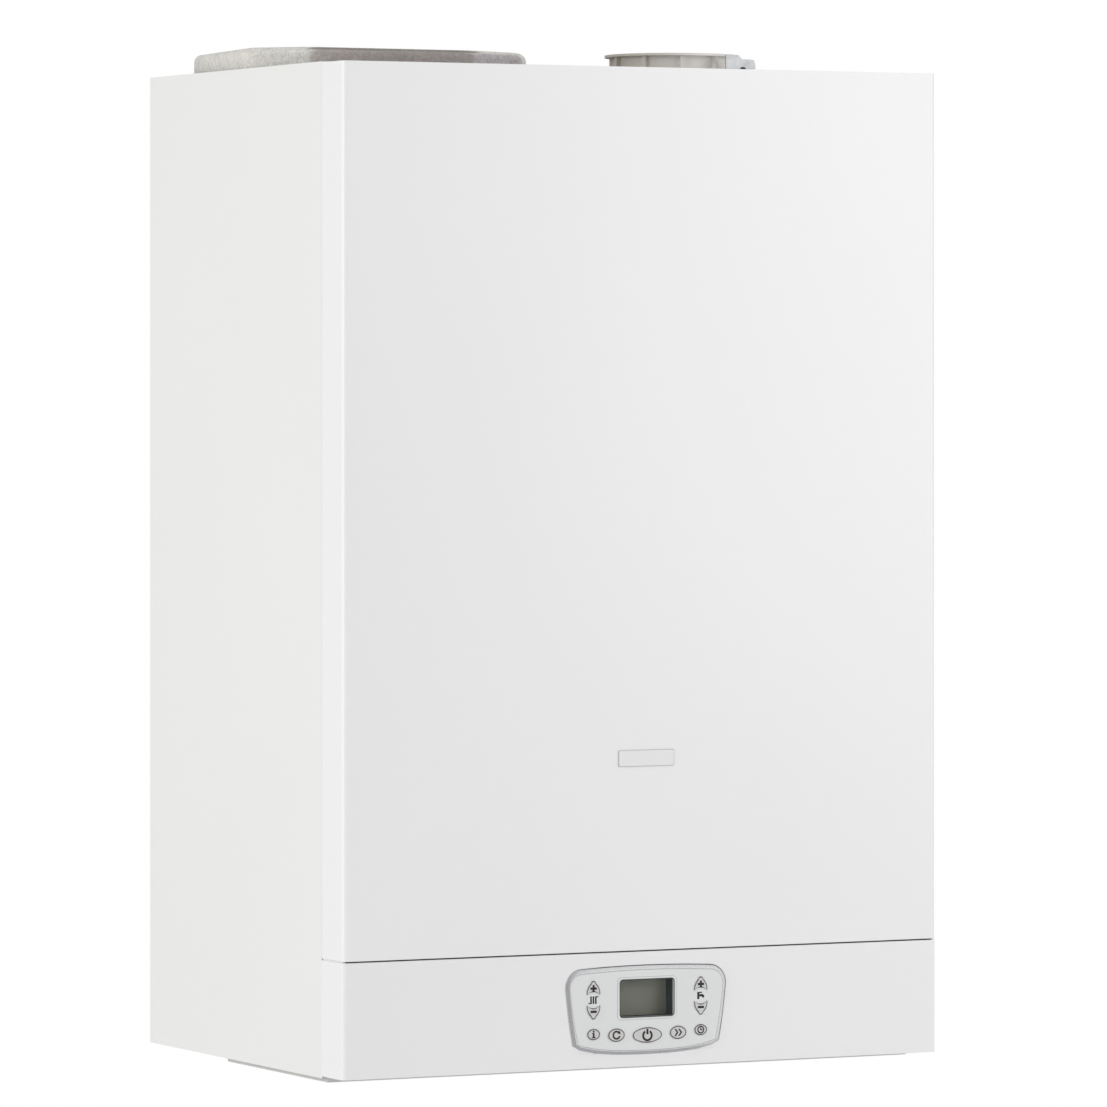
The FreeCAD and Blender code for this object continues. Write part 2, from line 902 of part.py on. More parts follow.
def rail_ports():
    """Where the pipes pass the connection bracket: side, outer radius."""
    return {
        "hot": (hot_x, d.small_nipple),
        "cold": (cold_x, d.small_nipple),
        "flow": (flow_x, d.large_nipple),
        "gas": (gas_x, d.small_nipple),
        "return": (return_x, d.large_nipple),
    }


def hinge_sides():
    barrel_far = tray_half - d.hinge_inset
    return barrel_far - d.hinge_barrel_length, barrel_far


def make_connection_bracket():
    """The bottom plate that carries the pipe ends, with two ears for the control panel's pins."""
    low = d.bracket_height
    half = inner_half - d.frame_wall
    plate = box((-half, -d.bracket_depth, low), (half * 2, d.bracket_depth, d.frame_wall))
    rim = box((-half, -d.bracket_depth, low), (half * 2, d.frame_wall, d.bracket_rim))
    solids = [plate, rim]
    tools = []
    near, far = hinge_sides()
    ear_half = d.hinge_barrel_radius
    for side in (-1, 1):
        left = far + d.fit_gap if side > 0 else -far - d.fit_gap - d.hinge_ear
        hinge = (left, -d.hinge_depth, d.hinge_height)
        solids.append(rod(hinge, ear_half, d.hinge_ear, "x"))
        upper = (left, -d.hinge_depth - ear_half, d.hinge_height)
        solids.append(box(upper, (d.hinge_ear, ear_half * 2, low + d.frame_wall - d.hinge_height)))
        hole = (left - d.cut_overrun, -d.hinge_depth, d.hinge_height)
        tools.append(rod(hole, d.hinge_pin_radius, d.hinge_ear + d.cut_overrun * 2, "x"))
    below = low - d.cut_overrun
    through = d.frame_wall + d.cut_overrun * 2
    for side, radius in rail_ports().values():
        tools.append(rod((side, rail, below), radius + d.fit_gap, through))
    tools.append(rod((drain_x, rail, below), d.drain_tube + d.fit_gap, through))
    tools.append(rod((fill_x, rail, below), d.fill_knob_radius + d.loose_gap, through))
    tools.append(rod((gland_x, -d.gland_depth, below), d.gland_radius + d.fit_gap, through))
    slot = box(
        (-inner_half - d.cut_overrun, -d.frame_wall, below),
        (inner_half * 2 + d.cut_overrun * 2, d.frame_wall + d.cut_overrun, through),
    )
    piece("connection_bracket", cut(fuse(*solids), slot, *tools))


def make_fascia():
    """The moulded front of the control panel, open at the back, with screw bosses inside."""
    half = half_width + d.fascia_overhang
    body = new_body()
    sketch = new_sketch(body, "XY_Plane")
    rectangle(sketch, -half, front, half, seam)
    pad(body, sketch, d.fascia_height)
    soften(body, d.fascia_round, upright_front)
    wall = d.fascia_wall
    inside = new_body()
    sketch = new_sketch(inside, "XY_Plane", wall)
    rectangle(sketch, wall - half, front + wall, half - wall, seam + d.cut_overrun)
    pad(inside, sketch, d.fascia_height - wall * 2)
    corner = d.fascia_round - wall
    soften(inside, corner, upright_front)
    bosses = []
    length = tray_front - front - wall
    for x in (d.boss_inset - half_width, half_width - d.boss_inset):
        for z in (d.tray_height / 4, d.tray_height * 3 / 4):
            bosses.append(rod((x, front + wall, z), d.boss_radius, length, "y"))
    window = insert_body(ZERO, d.fascia_wall + d.cut_overrun, d.cut_overrun)
    piece("fascia", cut(fuse(cut(body, inside), *bosses), window))


def insert_corners(inset):
    """The crowned outline of the control insert, drawn in by an even margin."""
    half_top = d.bezel_half_top - inset
    half_bottom = d.bezel_half_bottom - inset
    low = d.bezel_bottom + inset
    high = d.bezel_top - inset
    return [
        (-half_bottom, low, d.bezel_crown),
        (half_bottom, low, d.bezel_side_crown),
        (half_top, high, d.bezel_crown),
        (-half_top, high, d.bezel_side_crown),
    ]


def insert_body(inset, back, proud):
    """A block of the insert's outline from a depth behind the fascia's face to one before it."""
    body = new_body((ZERO, front, ZERO))
    sketch = new_sketch(body, "XZ_Plane", -back)
    outline(sketch, insert_corners(inset))
    pad(body, sketch, back + proud)
    upper = d.bezel_upper_round - inset
    lower = d.bezel_lower_round - inset
    middle = number_of((d.bezel_top + d.bezel_bottom) / 2)
    soften(body, upper, lambda e: runs_along(e, 1) and e.CenterOfMass.z > middle)
    soften(body, lower, lambda e: runs_along(e, 1) and e.CenterOfMass.z < middle)
    return body


def make_bezel():
    """The silver ring round the keypad, bevelled outwards."""
    ring = cut(
        insert_body(d.fit_gap, d.bezel_seat, d.bezel_proud),
        insert_body(d.bezel_ring, d.bezel_seat + d.cut_overrun, d.bezel_proud + d.cut_overrun),
    )
    doc.recompute()
    face = number_of(front - d.bezel_proud)
    bevel = doc.addObject("Part::Chamfer", "bevel")
    bevel.Base = ring
    sides = []
    inner_box = insert_extent(number_of(d.bezel_ring))
    for index, edge in enumerate(ring.Shape.Edges, start=1):
        on_face = abs(edge.BoundBox.YMin - face) < SAME and abs(edge.BoundBox.YMax - face) < SAME
        if on_face and not inside_extent(edge, inner_box):
            sides.append((index, number_of(d.bezel_proud), number_of(d.bezel_bevel)))
    bevel.Edges = sides
    piece("bezel_ring", bevel)


def insert_extent(inset):
    """Half width, lowest and highest point of the insert drawn in by a margin."""
    half = number_of(d.bezel_half_top) - inset + number_of(d.bezel_side_crown)
    low = number_of(d.bezel_bottom - d.bezel_crown - hook_height) + inset
    high = number_of(d.bezel_top + d.bezel_crown - hook_height) - inset
    return half, low, high


def inside_extent(edge, extent):
    half, low, high = extent
    reach = edge.BoundBox
    fits_across = max(-reach.XMin, reach.XMax) < half + NEAR
    return fits_across and reach.ZMin > low - NEAR and reach.ZMax < high + NEAR and near_inner(edge)


def near_inner(edge):
    """Whether an edge's middle lies nearer to the inner outline than to the outer one."""
    middle = edge.valueAt((edge.FirstParameter + edge.LastParameter) / 2)
    level = middle.z + number_of(hook_height)
    centre = number_of(d.bezel_top + d.bezel_bottom) / 2
    scale = max(abs(middle.x) / number_of(d.bezel_half_top), abs(level - centre) / (
        number_of(d.bezel_top + d.bezel_crown) - centre))
    return scale < 1 - number_of(d.bezel_ring) / 2 / number_of(d.bezel_half_top)


def arrow_corners(side, upward, grow):
    """A plus or minus key: crowned at its far end, hollowed towards the symbol between the pair."""
    x = d.arrow_key_place * side
    half = d.arrow_key_half + grow
    shoulder = d.arrow_key_shoulder + grow
    inner = d.arrow_key_inner - grow
    mid = d.arrow_key_mid + grow
    if upward:
        return [
            (x - half, inner, -d.arrow_key_hollow),
            (x + half, inner, d.arrow_key_cheek),
            (x + shoulder, mid, d.arrow_key_crown),
            (x - shoulder, mid, d.arrow_key_cheek),
        ]
    inner = d.lcd_middle * 2 - inner
    mid = d.lcd_middle * 2 - mid
    return [
        (x - shoulder, mid, d.arrow_key_crown),
        (x + shoulder, mid, d.arrow_key_cheek),
        (x + half, inner, -d.arrow_key_hollow),
        (x - half, inner, d.arrow_key_cheek),
    ]


def oval_corners(x, z, width, height, grow):
    """An oval key: two round ends that run into two long arcs."""
    across = width / 2 + grow
    up = height / 2 + grow
    turn_x = across * oval_turn_shares[0]
    turn_z = up * oval_turn_shares[1]
    return [
        (x - turn_x, z - turn_z, up - turn_z),
        (x + turn_x, z - turn_z, across - turn_x),
        (x + turn_x, z + turn_z, up - turn_z),
        (x - turn_x, z + turn_z, across - turn_x),
    ]


def key_outlines(grow):
    info = (d.info_key_middle, d.info_key_width, d.info_key_height, grow)
    reset = (d.reset_key_middle, d.reset_key_width, d.reset_key_height, grow)
    power = (d.power_key_middle, d.power_key_width, d.power_key_height, grow)
    return {
        "heating_plus_key": arrow_corners(-1, True, grow),
        "heating_minus_key": arrow_corners(-1, False, grow),
        "water_plus_key": arrow_corners(1, True, grow),
        "water_minus_key": arrow_corners(1, False, grow),
        "info_key": oval_corners(-d.info_key_place, *info),
        "reset_key": oval_corners(-d.reset_key_place, *reset),
        "power_key": oval_corners(ZERO, *power),
        "boost_key": oval_corners(d.reset_key_place, *reset),
        "timer_key": oval_corners(d.info_key_place, *info),
    }


def make_keypad():
    """The keypad plate inside the bezel, its nine keys, the display window and the boards behind."""
    face = front - d.bezel_proud
    plate = insert_body(d.bezel_ring + d.fit_gap, d.keypad_thick - d.bezel_proud, d.bezel_proud)
    cutter = new_body((ZERO, face, ZERO))
    sketch = new_sketch(cutter, "XZ_Plane", -d.keypad_thick * 2)
    for corners in key_outlines(d.key_gap).values():
        outline(sketch, corners)
    half = d.lcd_width / 2
    rise = d.lcd_height / 2
    rectangle(sketch, -half, d.lcd_middle - rise, half, d.lcd_middle + rise)
    pad(cutter, sketch, d.keypad_thick * 3)
    piece("keypad_plate", cut(plate, cutter))

    for name, corners in key_outlines(ZERO).items():
        key = new_body((ZERO, face - d.key_proud, ZERO))
        sketch = new_sketch(key, "XZ_Plane", -d.key_height)
        outline(sketch, corners)
        pad(key, sketch, d.key_height)
        piece(name, key)

    window = box(
        (d.fit_gap - half, face + d.lcd_frame / 2, d.lcd_middle - rise + d.fit_gap),
        (d.lcd_width - d.fit_gap * 2, d.lcd_window_thick, d.lcd_height - d.fit_gap * 2),
    )
    piece("lcd_window", window)
    module_front = face + d.keypad_thick
    module = box(
        (-half - d.lcd_frame, module_front, d.lcd_middle - rise - d.lcd_frame),
        (d.lcd_width + d.lcd_frame * 2, d.lcd_module_depth, d.lcd_height + d.lcd_frame * 2),
    )
    recess = box(
        (-half, module_front - d.cut_overrun, d.lcd_middle - rise),
        (d.lcd_width, d.lcd_recess + d.cut_overrun, d.lcd_height),
    )
    piece("lcd_module", cut(module, recess))
    board_front = module_front + d.lcd_module_depth
    board_half = d.bezel_half_bottom - d.bezel_ring * 2
    board_low = d.bezel_bottom + d.bezel_ring
    board_rise = d.bezel_top - d.bezel_ring - board_low
    board = box((-board_half, board_front, board_low), (board_half * 2, d.board_thick, board_rise))
    switches = []
    stem = board_front - (face - d.key_proud + d.key_height + d.key_travel + d.fit_gap)
    arrow_reach = (d.arrow_key_inner + d.arrow_key_mid) / 2 - d.lcd_middle
    places = [(d.arrow_key_place * s, d.lcd_middle + arrow_reach * t) for s in (-1, 1) for t in (-1, 1)]
    places += [(d.reset_key_place * s, d.reset_key_middle) for s in (-1, 1)]
    places += [(d.info_key_place * s, d.info_key_middle) for s in (-1, 1)]
    places.append((ZERO, d.power_key_middle))
    for x, z in places:
        switches.append(rod((x, board_front - stem, z), d.switch_radius, stem + d.board_thick, "y"))
    posts = []
    post_back = board_front + d.board_thick
    for side in (-1, 1):
        at = ((d.bezel_half_bottom - d.bezel_ring * 3) * side, post_back, d.lcd_middle)
        posts.append(rod(at, d.boss_radius, tray_front - post_back, "y"))
    piece("display_board", fuse(board, *switches, *posts))


def make_control_tray():
    """The tray behind the fascia that holds the main board, its lid, and the hinge barrels."""
    low = -d.tray_drop
    wall = d.tray_wall
    depth = -d.tray_back - tray_front
    outer = box((-tray_half, tray_front, low), (tray_width, depth, d.tray_height - low))
    inner = box(
        (wall - tray_half, tray_front + wall, low + wall),
        (tray_width - wall * 2, depth - wall * 2, d.tray_height - low),
    )
    near, far = hinge_sides()
    barrels = []
    bores = []
    for side in (-1, 1):
        left = near if side > 0 else -far
        at = (left, -d.hinge_depth, d.hinge_height)
        barrels.append(rod(at, d.hinge_barrel_radius, d.hinge_barrel_length, "x"))
        web = (left, -d.tray_back - wall / 2, d.hinge_height - d.hinge_barrel_radius)
        reach = d.tray_back - d.hinge_depth + wall / 2
        barrels.append(box(web, (d.hinge_barrel_length, reach, d.hinge_barrel_radius * 2)))
        hole = (left - d.cut_overrun, -d.hinge_depth, d.hinge_height)
        length = d.hinge_barrel_length + d.cut_overrun * 2
        bores.append(rod(hole, d.hinge_pin_radius + d.running_gap, length, "x"))
    piece("control_tray", cut(fuse(cut(outer, inner), *barrels), *bores))

    lid = box(
        (-tray_half, tray_front, d.tray_height),
        (tray_width, depth, d.lid_thick),
    )
    skirt_wall = d.lid_thick
    skirt = box(
        (wall - tray_half + d.fit_gap, tray_front + wall + d.fit_gap, d.tray_height - d.lid_thick * 2),
        (tray_width - wall * 2 - d.fit_gap * 2, depth - wall * 2 - d.fit_gap * 2, d.lid_thick * 3),
    )
    space = box(
        (wall - tray_half + skirt_wall * 2, tray_front + wall + skirt_wall * 2, ZERO),
        (tray_width - wall * 2 - skirt_wall * 4, depth - wall * 2 - skirt_wall * 4, d.tray_height),
    )
    piece("electrics_lid", cut(fuse(lid, skirt), space))

    pins = []
    for side in (-1, 1):
        left = near if side > 0 else -far - d.fit_gap - d.hinge_ear
        length = d.hinge_barrel_length + d.fit_gap + d.hinge_ear
        pins.append(rod((left, -d.hinge_depth, d.hinge_height), d.hinge_pin_radius, length, "x"))
    piece("hinge_pins", group(*pins))

    floor = low + wall
    middle = tray_front + depth / 2
    board_low = (-d.main_board_width / 2, middle - d.main_board_depth / 2, floor + d.main_board_lift)
    solids = [box(board_low, (d.main_board_width, d.main_board_depth, d.board_thick))]
    top = board_low[2]
    solids.append(
        box(
            (board_low[0] + d.relay_width, middle - d.transformer_depth / 2, top),
            (d.transformer_width, d.transformer_depth, d.transformer_height + d.board_thick),
        )
    )
    for index in range(4):
        at = (d.relay_pitch * index, middle - d.relay_width / 2, top)
        solids.append(box(at, (d.relay_width, d.relay_width, d.relay_height + d.board_thick)))
    for x_side in (-1, 1):
        for y_side in (-1, 1):
            x = (d.main_board_width / 2 - d.relay_width / 2) * x_side
            y = middle + (d.main_board_depth / 2 - d.relay_width / 2) * y_side
            solids.append(rod((x, y, floor), d.boss_radius, d.main_board_lift + d.board_thick))
    piece("main_board", fuse(*solids))


def rounded_block(grow, low, high):
    """The tank's rounded plan, grown or drawn in, between two heights."""
    body = new_body()
    sketch = new_sketch(body, "XY_Plane", low)
    rectangle(sketch, tank_left_x - grow, -tank_front - grow, tank_right_x + grow, grow - d.tank_back)
    pad(body, sketch, high - low)
    soften(body, d.foam_round + grow, lambda e: runs_along(e, 2))
    return body


tank_mid_x = (tank_left_x + tank_right_x) / 2
tank_mid_y = -(tank_front + d.tank_back) / 2
coil_foot = d.tank_bottom + d.foam_wall + d.coil_lift
coil_end_run = (tank_right_x - tank_left_x) / 2 - d.coil_end_inset
COIL_TURNS = 8


def tank_stubs():
    """Pipes through the tank's bottom: side, radius and the height they reach inside."""
    inside = d.tank_bottom + d.foam_wall + d.tank_wall
    coil_top = coil_foot + d.coil_pitch * COIL_TURNS
    return {
        "hot": (hot_x, d.water_tube, tank_top - d.foam_wall - d.coil_lift),
        "cold": (cold_x, d.water_tube, inside + d.coil_lift / 2),
        "coil_in": (tank_mid_x + coil_end_run, d.coil_tube, coil_foot + d.coil_pitch),
        "coil_out": (tank_mid_x - coil_end_run, d.coil_tube, coil_top + d.coil_pitch),
    }


def make_storage_tank():
    """The steel tank in its two-part foam jacket, with the foam block that stands out of the top."""
    foam = d.foam_wall
    shell_low = d.tank_bottom + foam
    shell_high = tank_top - foam
    outer = rounded_block(-foam - d.tank_clear, shell_low, shell_high)
    inner_margin = -foam - d.tank_clear - d.tank_wall
    inner = rounded_block(inner_margin, shell_low + d.tank_wall, shell_high - d.tank_wall)

    def level_edges(edge):
        return abs(edge.tangentAt(edge.FirstParameter).z) < SAME

    soften(outer, d.tank_end_round, level_edges)
    soften(inner, d.tank_end_round - d.tank_wall, level_edges)
    stubs = []
    bores = []
    passages = []
    foot = d.tank_bottom - d.cut_overrun
    for side, radius, reach in tank_stubs().values():
        stubs.append(rod((side, rail, foot), radius, reach - foot))
        start = (side, rail, foot - d.cut_overrun)
        bores.append(rod(start, radius - d.tube_wall, reach - foot + d.cut_overrun * 2))
        passages.append(rod(start, radius + d.fit_gap, foam + d.cut_overrun * 3))
    piece("storage_tank", cut(fuse(cut(outer, inner), *stubs), *bores))

    jacket = cut(
        rounded_block(ZERO, d.tank_bottom, tank_top),
        cut_space(shell_low, shell_high),
        *passages,
    )
    left = tank_left_x - d.cut_overrun
    width = tank_right_x - tank_left_x + d.cut_overrun * 2
    corner = (left, -tank_front - d.cut_overrun, ZERO)
    near = box(corner, (width, tank_mid_y + tank_front + d.cut_overrun, tank_top + d.cut_overrun))
    far = box((left, tank_mid_y, ZERO), (width, -tank_mid_y, tank_top + d.cut_overrun))
    piece("insulation_front", common(jacket, near))
    piece("insulation_rear", common(jacket, far))

    cap = new_body()
    sketch = new_sketch(cap, "XY_Plane", tank_top)
    outline(sketch, cap_corners())
    pad(cap, sketch, cap_top - tank_top)
    soften(cap, d.cap_corner_round, lambda e: runs_along(e, 2))
    soften(cap, d.cap_edge_round, lambda e: abs(e.BoundBox.ZMin - number_of(cap_top)) < SAME)
    piece("insulation_cap", cap)


def make_tank_coil():
    """The heating coil in the tank: level turns from one riser to the other, as quarter-turn arcs."""
    radius = number_of(d.coil_radius)
    pitch = number_of(d.coil_pitch)
    axis_y = rail - d.coil_radius
    centre = FreeCAD.Vector(number_of(tank_mid_x), number_of(axis_y), number_of(coil_foot))

    def on_coil(turns):
        angle = math.pi / 2 + turns * math.tau
        around = FreeCAD.Vector(math.cos(angle) * radius, math.sin(angle) * radius, turns * pitch)
        return centre + around

    climb = pitch / (math.tau * radius)
    slope = FreeCAD.Vector(-1, 0, climb)
    run = number_of(coil_end_run - d.coil_tube * (1 + climb) - d.fit_gap)
    edges = [Part.LineSegment(on_coil(0) - slope * run, on_coil(0)).toShape()]
    for quarter in range(COIL_TURNS * 4):
        arc = Part.Arc(on_coil(quarter / 4), on_coil((quarter + 1 / 2) / 4), on_coil((quarter + 1) / 4))
        edges.append(arc.toShape())
    top = on_coil(COIL_TURNS)
    edges.append(Part.LineSegment(top, top + slope * run).toShape())
    start = on_coil(0) - slope * run
    ring = Part.Wire([Part.Circle(start, slope, number_of(d.coil_tube)).toShape()])
    item = doc.addObject("Part::Feature", "coil")
    item.Shape = Part.Wire(edges).makePipeShell([ring], True, False)
    place(item)
    piece("tank_coil", item)
    print("least gap between turns of the coil", pitch - 2 * number_of(d.coil_tube))


def cut_space(low, high):
    """The room for the tank inside its foam jacket."""
    space = rounded_block(-d.foam_wall, low - d.tank_clear, high + d.tank_clear)
    soften(space, d.tank_end_round, lambda e: abs(e.tangentAt(e.FirstParameter).z) < SAME)
    return space


def make_flue():
    """The flue pipe above the exchanger, and the ribbed collar that takes a coaxial flue."""
    base = top_level
    rise = collar_top - base
    lip = rise - d.collar_lip
    collar = new_body((flue_x, -d.flue_depth, base))
    sketch = new_sketch(collar, "XZ_Plane")
    corners = [
        (d.air_bore, ZERO),
        (d.collar_flange_radius, ZERO),
        (d.collar_flange_radius, d.collar_flange),
        (d.collar_radius - d.collar_rib, d.collar_flange),
        (d.collar_radius - d.collar_rib, lip),
        (d.collar_lip_radius, lip),
        (d.collar_lip_radius, rise),
        (d.air_bore, rise),
    ]
    outline(sketch, corners)
    spin(collar, sketch)
    rib = new_sketch(collar, "XZ_Plane", -d.collar_rib / 2)
    half = d.collar_rib / 2
    rectangle(rib, d.air_bore + half, d.collar_flange / 2, d.collar_radius + half, rise - d.collar_lip / 2)
    rib_pad = pad(collar, rib, d.collar_rib)
    repeat_round(collar, rib_pad, 10)
    piece("flue_collar", collar)

    foot = d.drum_height + d.drum_radius + d.spigot_rise
    at = (flue_x, -d.flue_depth, foot)
    revolved("flue_pipe", at, "z", [
        (d.flue_bore, ZERO),
        (d.flue_bore + d.flue_wall * 3, ZERO),
        (d.flue_bore + d.flue_wall * 3, (flue_top - foot) * flue_foot_share),
        (d.flue_bore + d.flue_wall, (flue_top - foot) * flue_foot_share),
        (d.flue_bore + d.flue_wall, flue_top - foot),
        (d.flue_bore, flue_top - foot),
    ])

    plate = new_body((flue_plate_x, -d.flue_plate_depth, base))
    face = new_sketch(plate, "XZ_Plane", -d.plate_wall)
    tall = flue_plate_top - base
    width = d.flue_plate_width
    step = d.flue_plate_step
    outline(face, [
        (ZERO, ZERO),
        (width, ZERO),
        (width, tall - step),
        (width * plate_step_shares[0], tall - step),
        (width * plate_step_shares[1], tall),
        (ZERO, tall),
    ])
    pad(plate, face, d.plate_wall)
    soften(plate, d.flue_plate_round, lambda e: runs_along(e, 1) and e.CenterOfMass.z > number_of(tall) / 2
           and e.CenterOfMass.x > number_of(width) * plate_corner_share)
    holes = new_sketch(plate, "XZ_Plane", d.plate_wall)
    level = tall - step * 4
    small = d.flue_plate_hole / 2
    for share, hole in zip(plate_hole_shares, (small, d.flue_plate_hole, small)):
        circle(holes, width * share, level, hole)
    pocket(plate, holes, d.plate_wall * 4)
    foot_sketch = new_sketch(plate, "XY_Plane")
    rectangle(foot_sketch, ZERO, -d.flue_plate_foot, width, d.plate_wall)
    pad(plate, foot_sketch, d.plate_wall)
    piece("flue_bracket", plate)


def make_exchanger():
    """The round heat exchanger, its hanger, door, burner and electrode."""
    depth = drum_front - d.drum_back
    groove = depth / 8
    at = (flue_x, -d.drum_back, d.drum_height)
    corners = [(ZERO, ZERO), (d.drum_radius * drum_back_share, ZERO), (d.drum_radius, d.drum_flange_depth)]
    for index in range(2, 6):
        start = groove * index
        corners += [
            (d.drum_radius, start),
            (d.drum_radius - d.drum_waist, start + d.drum_groove),
            (d.drum_radius - d.drum_waist, start + d.drum_groove * 2),
            (d.drum_radius, start + d.drum_groove * 3),
        ]
    corners += [
        (d.drum_radius, depth - d.drum_flange_depth),
        (d.drum_radius + d.drum_flange, depth - d.drum_flange_depth),
        (d.drum_radius + d.drum_flange, depth),
        (d.burner_radius * 2, depth),
        (d.burner_radius * 2, depth - d.burner_length - d.drum_flange_depth),
        (ZERO, depth - d.burner_length - d.drum_flange_depth),
    ]
    drum = revolved(None, at, "-y", corners)
    chamber = d.burner_radius * 2
    up = (flue_x, -d.flue_depth, d.drum_height + chamber)
    spigot = rod(up, d.spigot_radius, d.drum_radius + d.spigot_rise - chamber)
    bore = rod(
        (flue_x, -d.flue_depth, d.drum_height + d.burner_radius),
        d.flue_bore - d.flue_wall,
        d.drum_radius + d.spigot_rise,
    )
    ports = []
    for x, y, radius in exchanger_ports().values():
        rise = d.drum_height - d.drum_radius / 2 - port_foot()
        ports.append(rod((x, y, port_foot()), radius + d.tube_wall * 2, rise))
    piece("heat_exchanger", cut(fuse(drum, spigot, *ports), bore))

    door_at = (flue_x, -drum_front, d.drum_height)
    plate = revolved(None, door_at, "-y", [
        (ZERO, ZERO),
        (d.door_radius, ZERO),
        (d.door_radius, d.door_thick),
        (d.door_radius * door_dome_shares[0], d.door_thick),
        (d.door_radius * door_dome_shares[1], d.door_thick + d.door_dome),
        (ZERO, d.door_thick + d.door_dome),
    ])
    duct_front = fan_line - d.duct_depth / 2
    duct = new_body()
    sketch = new_sketch(duct, "XY_Plane", duct_foot)
    left = flue_x - d.duct_width / 2
    rectangle(sketch, left, duct_front, left + d.duct_width, -drum_front - d.door_thick / 2)
    pad(duct, sketch, d.drum_height + d.duct_width / 2 - duct_foot)
    soften(duct, d.duct_width / 4, lambda e: e.CenterOfMass.z > number_of(d.drum_height)
           and e.CenterOfMass.y < number_of(duct_front + d.edge_slack))
    ribs = []
    for angle_share in range(6):
        turn = math.radians(30 + 60 * angle_share)
        x = flue_x + d.door_radius * (door_rib_share * math.cos(turn))
        z = d.drum_height + d.door_radius * (door_rib_share * math.sin(turn))
        ribs.append(rod((x, -drum_front, z), d.door_rib, d.door_thick + d.door_dome / 2, "-y"))
    piece("burner_door", fuse(plate, duct, *ribs))

    burner_at = (flue_x, -drum_front, d.drum_height)
    revolved("burner_tube", burner_at, "y", [
        (d.burner_radius - d.plate_wall, ZERO),
        (d.burner_radius + d.door_rib, ZERO),
        (d.burner_radius + d.door_rib, d.plate_wall),
        (d.burner_radius, d.plate_wall),
        (d.burner_radius, d.burner_length),
        (ZERO, d.burner_length),
        (ZERO, d.burner_length - d.plate_wall),
        (d.burner_radius - d.plate_wall, d.burner_length - d.plate_wall),
    ])
    spot = (flue_x + d.electrode_offset, -drum_front - d.door_thick - d.door_dome, d.drum_height)
    rod_length = d.electrode_length
    ceramic = fuse(
        rod(spot, d.electrode_radius, rod_length, "-y"),
        rod(spot, d.electrode_radius * 2, d.plate_wall * 3, "-y"),
    )
    piece("ignition_electrode", ceramic)


def port_foot():
    return d.drum_height - d.drum_radius - d.spigot_rise


def exchanger_ports():
    """Water and condensate ports under the exchanger: side, depth and radius."""
    return {
        "flow": (flow_x + d.heating_tube, rail, d.heating_tube),
        "return": (return_x + d.bend_radius, rail - d.bend_radius, d.heating_tube),
        "drain": (return_x, -trap_depth, d.drain_tube),
    }


